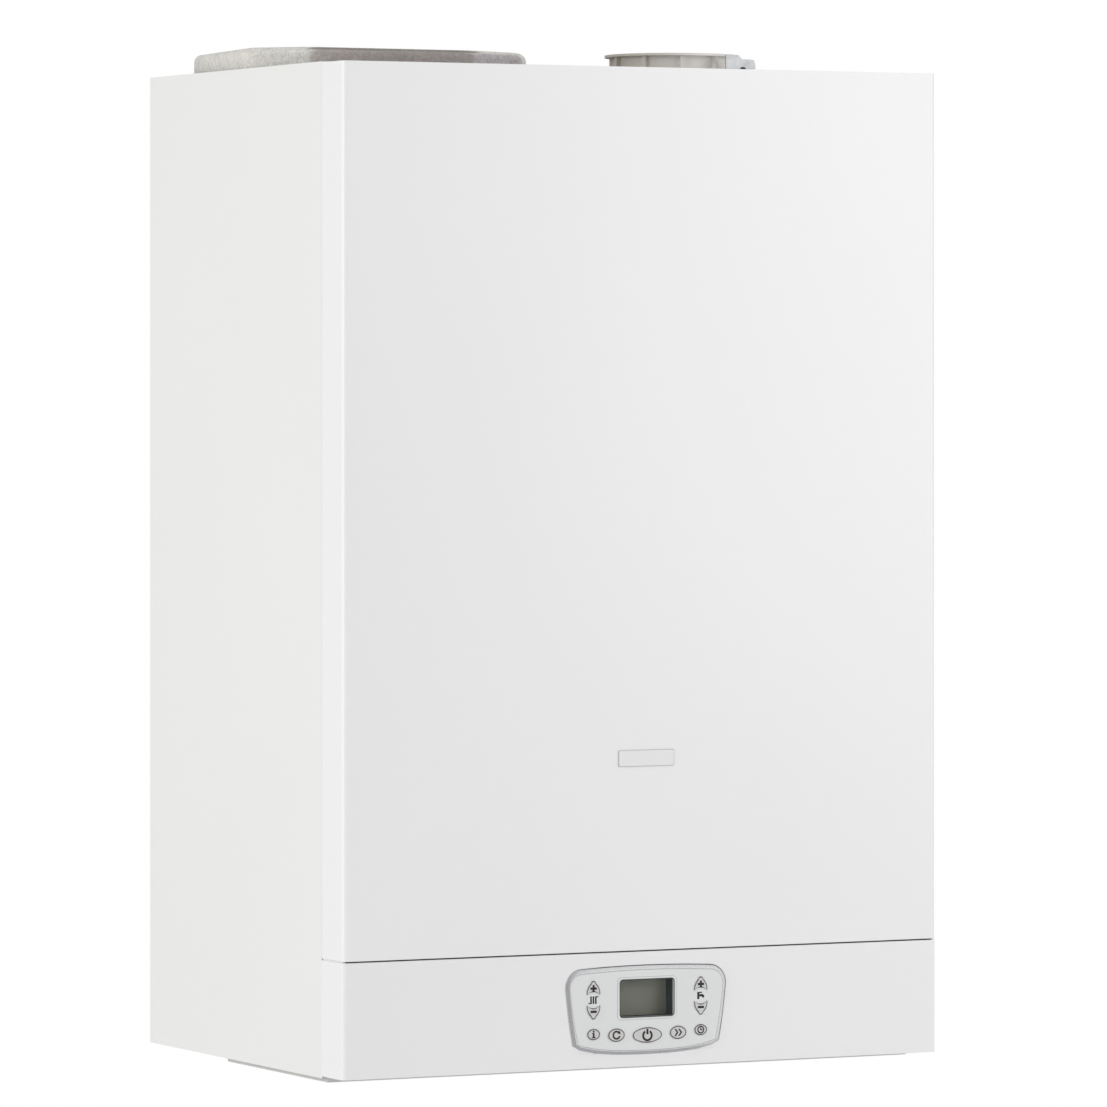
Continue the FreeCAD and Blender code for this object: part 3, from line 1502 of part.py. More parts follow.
def make_fan():
    """The scroll fan that blows gas and air into the burner, its wheel and its motor."""
    back = fan_line + d.scroll_depth / 2
    centre_x = flue_x - d.fan_left
    at = (centre_x, back, fan_height)
    depth = d.scroll_depth
    drum = rod(at, d.scroll_radius, depth, "-y")
    left = flue_x - d.duct_width / 2
    mouth = d.duct_width * outlet_share
    outlet = box((left, back - depth, fan_height), (mouth, depth, duct_foot - fan_height))
    flange = box(
        (left - d.plate_wall * 2, back - depth, duct_foot - d.plate_wall * 3),
        (d.duct_width, depth, d.plate_wall * 3),
    )
    wall = d.scroll_wall
    room = rod((centre_x, back - wall, fan_height), d.scroll_radius - wall, depth - wall * 2, "-y")
    eye = rod((centre_x, back + d.cut_overrun, fan_height), d.eye_radius, wall + d.cut_overrun * 2, "-y")
    shaft_hole = rod(
        (centre_x, back - depth + wall * 2, fan_height),
        d.fan_shaft_radius + d.running_gap,
        wall * 4,
        "-y",
    )
    throat = box(
        (left + wall, back - depth + wall, fan_height),
        (mouth - wall * 2, depth - wall * 2, duct_foot - fan_height + d.cut_overrun),
    )
    piece("fan_housing", cut(fuse(drum, outlet, flange), room, eye, shaft_hole, throat))

    wheel_back = back - wall - d.scroll_wall * 2
    wheel = new_body((centre_x, wheel_back, fan_height), "-y")
    sketch = new_sketch(wheel, "XY_Plane", d.wheel_width)
    circle(sketch, ZERO, ZERO, d.wheel_radius)
    pad(wheel, sketch, d.wheel_disc)
    hub = new_sketch(wheel, "XY_Plane")
    circle(hub, ZERO, ZERO, d.wheel_hub_radius)
    pad(wheel, hub, d.wheel_width + d.wheel_disc / 2)
    shaft = new_sketch(wheel, "XY_Plane", d.wheel_width + d.wheel_disc / 2)
    circle(shaft, ZERO, ZERO, d.fan_shaft_radius)
    shaft_length = depth - wall * 3 - d.wheel_width + wall * 2
    pad(wheel, shaft, shaft_length)
    blade = new_sketch(wheel, "XY_Plane")
    outline(blade, [
        (d.blade_inner, ZERO, -d.blade_thick),
        (d.wheel_radius - d.blade_thick, d.wheel_hub_radius / 2),
        (d.wheel_radius - d.blade_thick * 2, d.wheel_hub_radius / 2 + d.blade_thick, d.blade_thick),
        (d.blade_inner, d.blade_thick),
    ])
    blade_pad = pad(wheel, blade, d.wheel_width + d.wheel_disc / 2)
    repeat_round(wheel, blade_pad, 16)
    piece("fan_impeller", wheel)

    motor_at = (centre_x, back - depth, fan_height)
    can = revolved(None, motor_at, "-y", [
        (d.fan_shaft_radius + d.loose_gap, ZERO),
        (d.fan_motor_radius, ZERO),
        (d.fan_motor_radius, d.fan_motor_length * motor_shares[0]),
        (d.fan_motor_radius * motor_shares[1], d.fan_motor_length),
        (ZERO, d.fan_motor_length),
        (ZERO, d.fan_motor_length * motor_shares[2]),
        (d.fan_shaft_radius + d.loose_gap, d.fan_motor_length * motor_shares[2]),
    ])
    piece("fan_motor", can)

    mixer_at = (centre_x, back, fan_height)
    bore = d.silencer_radius - d.tray_wall
    neck = d.mixer_length
    mouth = neck + silencer_length
    flare = neck + silencer_length * flare_share
    revolved("gas_mixer", mixer_at, "y", [
        (d.eye_radius, ZERO),
        (d.mixer_radius + d.door_rib, ZERO),
        (d.mixer_radius + d.door_rib, d.plate_wall * 3),
        (d.mixer_radius, d.plate_wall * 3),
        (d.mixer_radius, neck),
        (d.silencer_radius, neck),
        (d.silencer_radius, flare),
        (d.silencer_mouth, mouth),
        (d.silencer_mouth - d.tray_wall, mouth),
        (bore, flare),
        (bore, neck + d.tray_wall),
        (d.eye_radius, neck + d.tray_wall),
        (d.mixer_throat, neck / 2),
    ])


def make_gas_line():
    """The gas valve under the mixer, and the tube from the gas nipple to it."""
    back = fan_line + d.scroll_depth / 2
    centre_x = flue_x - d.fan_left
    line = back + d.mixer_length / 2
    low = (centre_x - d.valve_width / 2, line - d.valve_depth / 2, d.valve_foot)
    body = new_body()
    sketch = new_sketch(body, "XY_Plane", d.valve_foot)
    rectangle(sketch, low[0], low[1], low[0] + d.valve_width, low[1] + d.valve_depth)
    pad(body, sketch, d.valve_height)
    soften(body, d.group_round / 2, lambda e: runs_along(e, 2))
    cans = []
    for share in can_shares:
        at = (low[0] + d.valve_width * share, low[1], d.valve_foot + d.valve_height / 2)
        cans.append(rod(at, d.coil_can_radius * can_body_share, d.coil_can_length, "-y"))
    riser_low = d.valve_foot + d.valve_height
    riser = rod((centre_x, line, riser_low), d.gas_tube, fan_height - d.mixer_radius - riser_low)
    nut = rod((centre_x, line, riser_low), d.gas_tube * union_share, d.gas_tube)
    piece("gas_valve", fuse(body, riser, nut, *cans))
    points = [
        (gas_x, rail, bracket_top + d.nipple_flange_rise),
        (gas_x, rail, d.gas_run_height),
        (centre_x, line, d.gas_run_height),
        (centre_x, line, d.valve_foot),
    ]
    piece("gas_pipe", bent_tube(points, d.gas_tube, d.gas_tube - d.tube_wall, d.gas_tube * 3))


def hexagon(at, radius, rise):
    """A six-sided nut of a given corner radius."""
    nut = new_body(at)
    sketch = new_sketch(nut, "XY_Plane")
    turns = [math.tau * index / NUT_SIDES for index in range(NUT_SIDES)]
    outline(sketch, [(radius * math.cos(turn), radius * math.sin(turn)) for turn in turns])
    pad(nut, sketch, rise)
    return nut


def make_nipples():
    """The five pipe ends, each with a flange above the connection bracket and a lock nut below it."""
    ends = []
    for side, radius in rail_ports().values():
        low = -d.nipple_end
        rise = bracket_top - low
        stem = rod((side, rail, low), radius, rise + d.nipple_flange_rise)
        flange = rod((side, rail, bracket_top), radius + d.nipple_flange, d.nipple_flange_rise)
        nut_at = (side, rail, d.bracket_height - d.nipple_nut_rise)
        nut = hexagon(nut_at, radius + d.nipple_flange, d.nipple_nut_rise)
        bore = rod(
            (side, rail, low - d.cut_overrun),
            radius - d.nipple_wall,
            rise + d.nipple_flange_rise + d.cut_overrun * 2,
        )
        ends.append(cut(fuse(stem, flange, nut), bore))
    piece("connection_nipples", group(*ends))


def straight_pipe(at, radius, length):
    return tube(at, radius, radius - d.tube_wall, length)


def make_water_groups():
    """The flow group with its diverter, the return group with the pump, and the pipes between."""
    foot = d.group_foot
    nipple_top = bracket_top + d.nipple_flange_rise
    head = foot + d.group_height
    names = (("flow_group", flow_x), ("return_group", return_x))
    for name, side in names:
        body = new_body()
        sketch = new_sketch(body, "XY_Plane", foot)
        low_x = side - d.group_width / 2
        low_y = rail - d.group_depth / 2
        rectangle(sketch, low_x, low_y, low_x + d.group_width, low_y + d.group_depth)
        pad(body, sketch, d.group_height)
        soften(body, d.group_round, lambda e: runs_along(e, 2))
        leg = tube((side, rail, nipple_top), d.heating_tube, d.heating_tube - d.tube_wall, foot - nipple_top)
        solids = [body, leg]
        if name == "flow_group":
            top_at = (flow_x + d.heating_tube, rail, head)
            solids.append(rod(top_at, d.heating_tube * boss_share, d.group_round * 2))
        if name == "return_group":
            solids += [air_vent(), relief_valve()]
        piece(name, fuse(*solids))
    group_front = rail - d.group_depth / 2
    riser_x = flow_x + d.heating_tube
    top = head + d.group_round * 2
    flow_pipe = straight_pipe((riser_x, rail, top), d.heating_tube, port_foot() - top)

    neck_at = (flow_x, group_front, foot + d.group_height / 2)
    neck = rod(neck_at, d.diverter_neck, d.diverter_neck_length, "-y")
    block_low = (
        flow_x - d.diverter_width / 2,
        group_front - d.diverter_neck_length - d.diverter_depth,
        foot + d.group_height / 2 - d.diverter_height / 2,
    )
    motor = new_body()
    sketch = new_sketch(motor, "XY_Plane", block_low[2])
    far = (block_low[0] + d.diverter_width, block_low[1] + d.diverter_depth)
    rectangle(sketch, block_low[0], block_low[1], far[0], far[1])
    pad(motor, sketch, d.diverter_height)
    soften(motor, d.group_round, lambda e: runs_along(e, 2))
    piece("diverter_motor", fuse(motor, neck))

    axis_at = (return_x, group_front, foot + d.group_height / 2)
    can = d.pump_depth + d.pump_motor_length
    pump = revolved(None, axis_at, "-y", [
        (ZERO, ZERO),
        (d.pump_radius, ZERO),
        (d.pump_radius, d.pump_depth - d.pump_cap / 2),
        (d.pump_radius - d.pump_cap / 2, d.pump_depth),
        (d.pump_motor_radius, d.pump_depth),
        (d.pump_motor_radius, can - d.pump_cap),
        (d.pump_motor_radius - d.pump_cap, can),
        (ZERO, can),
    ])
    pump_mid = group_front - d.pump_depth / 2
    outlet_at = (return_x, pump_mid, foot + d.group_height / 2)
    outlet_top = foot + d.group_height / 2 + d.pump_radius + d.group_round
    outlet = rod(outlet_at, d.heating_tube * boss_share, outlet_top - foot - d.group_height / 2)
    piece("circulation_pump", fuse(pump, outlet))
    port_x, port_y = exchanger_ports()["return"][:2]
    bend_low = outlet_top + d.bend_radius * 2
    points = [
        (return_x, pump_mid, outlet_top),
        (return_x, pump_mid, bend_low),
        (port_x, port_y, bend_low + d.bend_radius * 2),
        (port_x, port_y, port_foot()),
    ]
    return_pipe = bent_tube(points, d.heating_tube, d.heating_tube - d.tube_wall, d.bend_radius)
    piece("exchanger_pipes", group(flow_pipe, return_pipe))


def air_vent():
    """The bottle-shaped automatic vent on top of the return group."""
    at = (return_x, rail, d.group_foot + d.group_height)
    return revolved(None, at, "z", [
        (ZERO, -d.vent_cap),
        (d.vent_radius / 2, -d.vent_cap),
        (d.vent_radius / 2, d.vent_cap),
        (d.vent_radius, d.vent_cap),
        (d.vent_radius, d.vent_height),
        (d.vent_cap, d.vent_height),
        (d.vent_cap, d.vent_height + d.vent_cap),
        (ZERO, d.vent_height + d.vent_cap),
    ])


def relief_valve():
    """The relief valve's barrel beside the return group, with the spindle of its knob."""
    level = d.group_foot + d.group_height / 2
    start = rail + d.relief_radius
    barrel = rod((relief_x, start, level), d.relief_radius, d.relief_length, "-y")
    across = relief_x - return_x
    link = rod((return_x, rail, level), d.relief_radius * link_share, across, "x")
    reach = d.relief_length + d.relief_knob_length / 2
    spindle = rod((relief_x, start, level), d.spindle_radius, reach, "-y")
    return fuse(barrel, link, spindle)


def knob(name, at, along, radius, length, bore):
    """A scalloped hand knob on a spindle."""
    body = new_body(at, along)
    sketch = new_sketch(body, "XY_Plane")
    circle(sketch, ZERO, ZERO, radius)
    pad(body, sketch, length)
    notch = new_sketch(body, "XY_Plane", length)
    circle(notch, radius + d.knob_scallop / 2, ZERO, d.knob_scallop)
    notch_cut = pocket(body, notch, length * knob_notch_share)
    repeat_round(body, notch_cut, 8)
    hole = new_sketch(body, "XY_Plane", length * knob_bore_share)
    circle(hole, ZERO, ZERO, bore)
    pocket(body, hole, length)
    piece(name, body)


def make_valves():
    """The relief valve's knob, and the filling tap between cold and heating water."""
    level = d.group_foot + d.group_height / 2
    start = rail + d.relief_radius
    knob_at = (relief_x, start - d.relief_length - d.fit_gap, level)
    bore = d.spindle_radius + d.running_gap
    knob("relief_knob", knob_at, "-y", d.relief_knob_radius, d.relief_knob_length, bore)

    z = d.fill_height
    tap = rod((fill_x, rail, z - d.fill_length / 2), d.fill_radius, d.fill_length)
    flow_left = flow_x - d.heating_tube
    cold_right = cold_x + d.water_tube
    across = rod((cold_right, rail, z), d.fill_tube, flow_left - cold_right, "x")
    stem = rod((fill_x, rail, z), d.spindle_radius, d.fill_length / 2 + d.fill_knob_length / 2, "-z")
    piece("filling_tap", fuse(tap, across, stem))
    fill_at = (fill_x, rail, z - d.fill_length / 2 - d.fit_gap)
    knob("filling_knob", fill_at, "-z", d.fill_knob_radius, d.fill_knob_length, bore)


def make_tank_pipes():
    """Straight risers from the nipples to the tank, and the two coil pipes from the groups."""
    nipple_top = bracket_top + d.nipple_flange_rise
    stub_foot = d.tank_bottom - d.cut_overrun
    length = stub_foot - nipple_top
    hot = straight_pipe((hot_x, rail, nipple_top), d.water_tube, length)
    cold = straight_pipe((cold_x, rail, nipple_top), d.water_tube, length)
    behind = -d.coil_rail_depth
    leg = rail + d.heating_tube
    stubs = tank_stubs()
    runs = (
        (flow_x, stubs["coil_in"][0], d.coil_feed_height),
        (return_x, stubs["coil_out"][0], d.coil_return_height),
    )
    pipes = [hot, cold]
    for side, riser, level in runs:
        points = [
            (side, leg, level),
            (side, behind, level),
            (riser, behind, level),
            (riser, rail, level),
            (riser, rail, stub_foot),
        ]
        pipes.append(bent_tube(points, d.coil_tube, d.coil_tube - d.tube_wall, d.coil_bend))
    piece("tank_pipes", group(*pipes))


def make_condensate():
    """The bottle trap below the exchanger and its drain pipe."""
    top = d.trap_foot + d.trap_height
    trap_at = (trap_x, -trap_depth, d.trap_foot)
    bottle = revolved(None, trap_at, "z", [
        (ZERO, ZERO),
        (d.trap_radius - d.trap_cap, ZERO),
        (d.trap_radius, d.trap_cap),
        (d.trap_radius, d.trap_height - d.trap_cap),
        (d.trap_radius + d.trap_cap / 2, d.trap_height - d.trap_cap),
        (d.trap_radius + d.trap_cap / 2, d.trap_height),
        (ZERO, d.trap_height),
    ])
    piece("condensate_trap", bottle)
    sump_x, sump_y, radius = exchanger_ports()["drain"]
    bend = d.drain_tube * 2
    points = [
        (sump_x, sump_y, port_foot()),
        (sump_x, sump_y, port_foot() - bend * drain_lead_share),
        (trap_x, -trap_depth, top + bend * drain_lead_share),
        (trap_x, -trap_depth, top),
    ]
    inlet = bent_tube(points, d.drain_tube, d.drain_tube - d.drain_wall, bend)
    points = [
        (trap_x, -trap_depth, d.trap_foot),
        (trap_x, -trap_depth, d.drain_run_height),
        (drain_x, rail, d.drain_run_height),
        (drain_x, rail, -d.nipple_end),
    ]
    drain = bent_tube(points, d.drain_tube, d.drain_tube - d.drain_wall, bend)
    stop_at = (drain_x, rail, d.bracket_height - d.nipple_nut_rise)
    stop = tube(stop_at, d.drain_tube + d.drain_wall * 2, d.drain_tube - d.drain_wall / 2,
                d.nipple_nut_rise - d.fit_gap)
    piece("condensate_pipes", group(inlet, fuse(drain, stop)))


def make_vessel():
    """The flat expansion vessel on the rear frame."""
    at = (vessel_x, -d.frame_wall, d.vessel_height)
    start = d.vessel_back - d.frame_wall
    mid = start + d.vessel_depth / 2
    rim = d.vessel_rim_width / 2
    end = start + d.vessel_depth
    revolved("expansion_vessel", at, "-y", [
        (ZERO, ZERO),
        (d.vessel_boss, ZERO),
        (d.vessel_boss, start),
        (d.vessel_radius - d.vessel_crown * 2, start, d.vessel_crown / 2),
        (d.vessel_radius, mid - rim),
        (d.vessel_radius + d.vessel_rim, mid - rim),
        (d.vessel_radius + d.vessel_rim, mid + rim),
        (d.vessel_radius, mid + rim, d.vessel_crown / 2),
        (d.vessel_radius - d.vessel_crown * 2, end),
        (ZERO, end),
    ])


def make_gland():
    """The gland for the mains lead, in the connection bracket."""
    at = (gland_x, -d.gland_depth, d.bracket_height - d.gland_length)
    revolved("cable_gland", at, "z", [
        (d.gland_bore, ZERO),
        (d.gland_radius, ZERO),
        (d.gland_radius, d.gland_length + d.frame_wall),
        (d.gland_nut, d.gland_length + d.frame_wall),
        (d.gland_nut, d.gland_length + d.frame_wall + d.nipple_flange_rise),
        (d.gland_bore, d.gland_length + d.frame_wall + d.nipple_flange_rise),
    ])


make_rear_frame()
make_side_panels()
make_front_cover()
make_cover_fixings()
make_top_panel()
make_crossbar()
make_connection_bracket()
make_fascia()
make_bezel()
make_keypad()
make_control_tray()
make_storage_tank()
make_tank_coil()
make_flue()
make_exchanger()
make_fan()
make_gas_line()
make_nipples()
make_water_groups()
make_valves()
make_tank_pipes()
make_condensate()
make_vessel()
make_gland()
doc.recompute()

faults = [item.Label for item in doc.Objects if {"Invalid", "Error"} & set(item.State)]
for item in pieces:
    if item.Shape.isNull() or not item.Shape.isValid():
        faults.append(item.Label)
if faults:
    raise RuntimeError(f"these did not build: {faults}")
os.makedirs("parts", exist_ok=True)
for item in pieces:
    item.Shape.exportStep(f"parts/{item.Label}.step")
    print(item.Label, len(item.Shape.Solids), round(item.Shape.Volume))
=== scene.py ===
# %% [markdown]
# # A wall-hung condensing boiler
#
# The engineering model of the boiler already exists: casing, control panel, keys, tank, burner and pipes
# are solids with real sizes. This lesson loads them as a fixed frame and gives them what a workshop adds
# last: paint, foam, print, screws and light.

# %% Load the frame
import json
import math

import bmesh
import bpy
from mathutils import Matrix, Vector


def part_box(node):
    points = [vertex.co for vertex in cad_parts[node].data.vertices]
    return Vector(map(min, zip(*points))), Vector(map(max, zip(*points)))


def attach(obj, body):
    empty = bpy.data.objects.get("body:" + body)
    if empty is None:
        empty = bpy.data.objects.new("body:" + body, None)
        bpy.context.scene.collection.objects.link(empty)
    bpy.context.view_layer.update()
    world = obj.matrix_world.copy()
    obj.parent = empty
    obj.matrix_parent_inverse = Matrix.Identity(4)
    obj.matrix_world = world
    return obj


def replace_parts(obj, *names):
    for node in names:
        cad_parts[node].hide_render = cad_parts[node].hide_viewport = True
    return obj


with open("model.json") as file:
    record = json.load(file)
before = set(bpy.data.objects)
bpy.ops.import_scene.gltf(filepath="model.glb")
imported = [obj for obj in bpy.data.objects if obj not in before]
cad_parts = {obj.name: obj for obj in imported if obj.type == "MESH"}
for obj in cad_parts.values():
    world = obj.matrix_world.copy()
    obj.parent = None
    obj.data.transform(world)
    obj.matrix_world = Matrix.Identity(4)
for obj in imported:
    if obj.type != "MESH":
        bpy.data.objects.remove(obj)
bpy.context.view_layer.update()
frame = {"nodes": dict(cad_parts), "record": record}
nodes = frame["nodes"]
MM = 0.001

# %% [markdown]
# ## Writing shader maths as plain expressions
#
# A procedural finish is a small formula: a noise here, a mask there, a product of both. Placing a Math
# node for each sign is slow to read, so one class wraps a node's output and lets + - * / and > place the
# Math nodes.

# %% Shader maths
class Flow:
    """A number on its way through a material; arithmetic on it places Math nodes."""

    def __init__(self, finish, socket):
        self.finish = finish
        self.socket = socket

    def maths(self, operation, *terms):
        return self.finish.node("ShaderNodeMath", {"operation": operation}, dict(enumerate(terms)))

    def __add__(self, other):
        return self.maths("ADD", self, other)

    def __radd__(self, other):
        return self.maths("ADD", other, self)

    def __sub__(self, other):
        return self.maths("SUBTRACT", self, other)

    def __rsub__(self, other):
        return self.maths("SUBTRACT", other, self)

    def __mul__(self, other):
        return self.maths("MULTIPLY", self, other)

    def __truediv__(self, other):
        return self.maths("DIVIDE", self, other)

    def __gt__(self, other):
        return self.maths("GREATER_THAN", self, other)

    def step(self, low, high):
        """Rises smoothly from 0 at low to 1 at high."""
        ends = {"Value": self, "From Min": low, "From Max": high}
        return self.finish.node("ShaderNodeMapRange", {"interpolation_type": "SMOOTHSTEP"}, ends)


# %% [markdown]
# ## One class for a material
#
# The second class holds one material. Its method node() places any kind of node, and short methods on top
# of it give the textures that this lesson uses. Textures are laid out in Object coordinates, so they keep
# their place on a piece when it moves.

# %% Materials
class Finish:
    """One procedural material on Object coordinates, which are metres in the boiler's own frame."""

    def __init__(self, name, colour, roughness, **fixed):
        self.material = bpy.data.materials.new(name)
        self.material.use_nodes = True
        self.tree = self.material.node_tree
        self.shader = self.tree.nodes["Principled BSDF"]
        self.shader.inputs["Base Color"].default_value = (*colour, 1)
        self.shader.inputs["Roughness"].default_value = roughness
        for socket, value in fixed.items():
            self.shader.inputs[socket.replace("_", " ")].default_value = value
        self.material.diffuse_color = (*colour, 1)
        self.where = self.node("ShaderNodeTexCoord", {}, {}, "Object")

    def node(self, kind, settings, sockets, output=0):
        """Place a node with its settings and its inputs, which are values or flows."""
        made = self.tree.nodes.new(kind)
        for key, value in settings.items():
            setattr(made, key, value)
        for key, value in sockets.items():
            if isinstance(value, Flow):
                self.tree.links.new(value.socket, made.inputs[key])
            else:
                made.inputs[key].default_value = value
        return Flow(self, made.outputs[output])

    def noise(self, scale, detail=2.0, roughness=0.5, where=None):
        sockets = {"Vector": where or self.where, "Scale": scale, "Detail": detail, "Roughness": roughness}
        return self.node("ShaderNodeTexNoise", {}, sockets, "Fac")

    def cells(self, scale, feature="F1", output="Distance"):
        sockets = {"Vector": self.where, "Scale": scale}
        return self.node("ShaderNodeTexVoronoi", {"feature": feature}, sockets, output)

    def patches(self, scale, channel="Red"):
        """One random number for each cell of a Voronoi texture."""
        colour = self.cells(scale, output="Color")
        return self.node("ShaderNodeSeparateColor", {}, {"Color": colour}, channel)

    def stretched(self, scale):
        return self.node("ShaderNodeMapping", {}, {"Vector": self.where, "Scale": scale})

    def axis(self, letter):
        return self.node("ShaderNodeSeparateXYZ", {}, {"Vector": self.where}, letter)

    def mix(self, factor, first, second):
        """Blend of two colours; each is a tuple or a colour already in the tree."""
        ends = [end if isinstance(end, Flow) else (*end, 1) for end in (first, second)]
        return self.node("ShaderNodeMix", {"data_type": "RGBA"}, {0: factor, 6: ends[0], 7: ends[1]}, 2)

    def feed(self, **flows):
        for socket, flow in flows.items():
            self.tree.links.new(flow.socket, self.shader.inputs[socket.replace("_", " ")])

    def bump(self, height, strength, distance):
        sockets = {"Height": height, "Strength": strength, "Distance": distance}
        self.tree.links.new(self.node("ShaderNodeBump", {}, sockets).socket, self.shader.inputs["Normal"])


def tone(red, green, blue):
    """A colour as a picture shows it, 0 to 255, made linear for the renderer."""
    shares = [value / 255 for value in (red, green, blue)]
    return tuple(s / 12.92 if s <= 0.04045 else ((s + 0.055) / 1.055) ** 2.4 for s in shares)


def scaled(colour, factor):
    return tuple(min(1.0, part * factor) for part in colour)


finishes = {}

# %% [markdown]
# ## Powder coat and moulded plastic
#
# The cover and the side panels are powder-coated steel: almost white, satin, with the faint orange-peel
# ripple of a baked coat. The control panel is moulded plastic of nearly the same white, but with a fine
# even grain. Both come from one recipe: a tint that drifts very slowly over the surface and a bump of the
# right grain size.

# %% Coated and moulded finishes
def coated(slot, colour, roughness, peel=0.0011, ripple=0.00002):
    """Baked powder coat; peel is the width of its ripples in metres and ripple their height."""
    made = Finish(slot, colour, roughness, Coat_Weight=0.12, Coat_Roughness=0.18)
    drift = made.noise(3.0, 1.0)
    made.feed(Base_Color=made.mix(drift, scaled(colour, 0.985), scaled(colour, 1.012)))
    made.feed(Roughness=made.noise(60.0, 2.0) * 0.06 + (roughness - 0.03))
    made.bump(made.noise(1 / peel, 2.0, 0.45), 0.12, ripple)
    finishes[slot] = made


def moulded(slot, colour, roughness, grain=0.00045, depth=0.00004, speck=0.03):
    """Plastic with a grain of a width and depth in metres; speck says how much the colour varies."""
    made = Finish(slot, colour, roughness)
    fleck = made.noise(1 / grain, 3.0, 0.6)
    drift = made.noise(14.0, 2.0)
    shade = fleck * speck + drift * speck
    made.feed(Base_Color=made.mix(shade, colour, scaled(colour, 0.35)))
    made.feed(Roughness=fleck * 0.12 + (roughness - 0.06))
    made.bump(fleck, 0.25, depth)
    finishes[slot] = made
    return made


coated("casing_white", tone(240, 240, 240), 0.36)
coated("side_white", tone(236, 236, 234), 0.36)
coated("pump_red", tone(150, 38, 30), 0.42, 0.0016)
coated("vessel_red", tone(158, 34, 30), 0.4, 0.0016)
moulded("panel_white", tone(240, 239, 240), 0.44, speck=0.012)
moulded("tray_grey", tone(206, 206, 203), 0.5)
moulded("keypad_grey", tone(226, 228, 227), 0.38, speck=0.012)
moulded("key_grey", tone(208, 207, 207), 0.45)
moulded("flue_white", tone(226, 226, 222), 0.42)
moulded("black_plastic", tone(38, 38, 40), 0.42)
moulded("group_plastic", tone(46, 46, 49), 0.5, 0.0009, 0.00006)
moulded("fan_plastic", tone(62, 62, 66), 0.48, 0.0008, 0.00005)
moulded("trap_grey", tone(176, 178, 180), 0.4)
moulded("knob_red", tone(190, 36, 28), 0.34)
moulded("knob_blue", tone(36, 78, 158), 0.34)
moulded("ceramic_white", tone(238, 234, 224), 0.28, 0.0009, 0.00002)
print("coated and moulded finishes:", len(finishes))

# %% [markdown]
# ## The collar, painted lighter to the right
#
# The flue collar is an unpainted plastic. Its beige turns into a near white towards the right, a painted
# highlight where that side faces the light, so its place between the two sides of the collar decides a
# point's colour.

# %% Collar finish
collar = moulded("collar_grey", tone(226, 221, 212), 0.46, 0.0006)
collar_low, collar_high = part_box("flue_collar")
# Share of painted highlight: the collar is painted lighter towards its right side, where it faces the
# light.
painted_lighter = ((collar.axis("X") - collar_low.x) / (collar_high.x - collar_low.x)).step(-0.1, 0.55)
collar_beige = collar.mix(collar.noise(240.0, 3.0) * 0.4, tone(188, 181, 168), tone(176, 169, 156))
collar.feed(Base_Color=collar.mix(painted_lighter, collar_beige, tone(248, 245, 241)))
print("collar of", round((collar_high.x - collar_low.x) / MM), "mm, faded to the right")

# %% [markdown]
# ## Metals
#
# Galvanised sheet shows its zinc crystals as flat patches of different brightness, each a few millimetres
# wide. Two Voronoi textures give one random value for each cell, which tints the metal and changes its
# roughness. Drawn copper and brushed steel have fine streaks instead, so their noise is stretched along
# one direction, and cast aluminium gets a sandy bump.

# %% Metal finishes
def galvanised(slot, colour):
    made = Finish(slot, colour, 0.42, Metallic=0.85)
    large = made.patches(90.0)
    small = made.patches(310.0, "Green")
    fine = made.noise(900.0, 2.0)
    shade = large * 0.35 + small * 0.35 + fine * 0.3
    made.feed(Base_Color=made.mix(shade, scaled(colour, 0.8), scaled(colour, 1.16)))
    made.feed(Roughness=large * 0.1 + small * 0.1 + 0.32)
    made.bump(fine, 0.15, 0.00003)
    finishes[slot] = made


def streaked(slot, colour, roughness, along, tarnish, dull=None):
    """Drawn or brushed metal; along squeezes the noise, and tarnish is the share of the dull colour."""
    made = Finish(slot, colour, roughness, Metallic=1.0)
    streak = made.noise(1.0, 3.0, 0.6, made.stretched(along))
    cloud = made.noise(26.0, 3.0).step(0.45, 0.75)
    clean = made.mix(streak, scaled(colour, 0.86), scaled(colour, 1.1))
    made.feed(Base_Color=made.mix(cloud * tarnish, clean, dull or scaled(colour, 0.45)))
    made.feed(Roughness=streak * 0.16 + cloud * 0.1 + (roughness - 0.1))
    made.bump(streak, 0.08, 0.00003)
    finishes[slot] = made


def cast(slot, colour):
    made = Finish(slot, colour, 0.55, Metallic=0.9)
    sand = made.noise(650.0, 4.0, 0.65)
    cloud = made.noise(18.0, 2.0)
    shade = sand * 0.5 + cloud * 0.5
    made.feed(Base_Color=made.mix(shade, scaled(colour, 0.7), scaled(colour, 1.15)))
    made.feed(Roughness=sand * 0.2 + 0.45)
    made.bump(sand, 0.4, 0.00012)
    finishes[slot] = made


galvanised("galvanised", tone(178, 179, 180))
cast("cast_aluminium", tone(188, 190, 192))
streaked("stainless", tone(190, 190, 188), 0.34, (900.0, 900.0, 20.0), 0.1)
streaked("spring_steel", tone(170, 170, 172), 0.34, (600.0, 40.0, 40.0), 0.2)
streaked("brass", tone(206, 170, 92), 0.3, (60.0, 60.0, 900.0), 0.25, tone(120, 86, 40))
streaked("copper", tone(205, 122, 84), 0.32, (500.0, 500.0, 24.0), 0.4, tone(96, 52, 36))
print("finishes with the metals:", len(finishes))
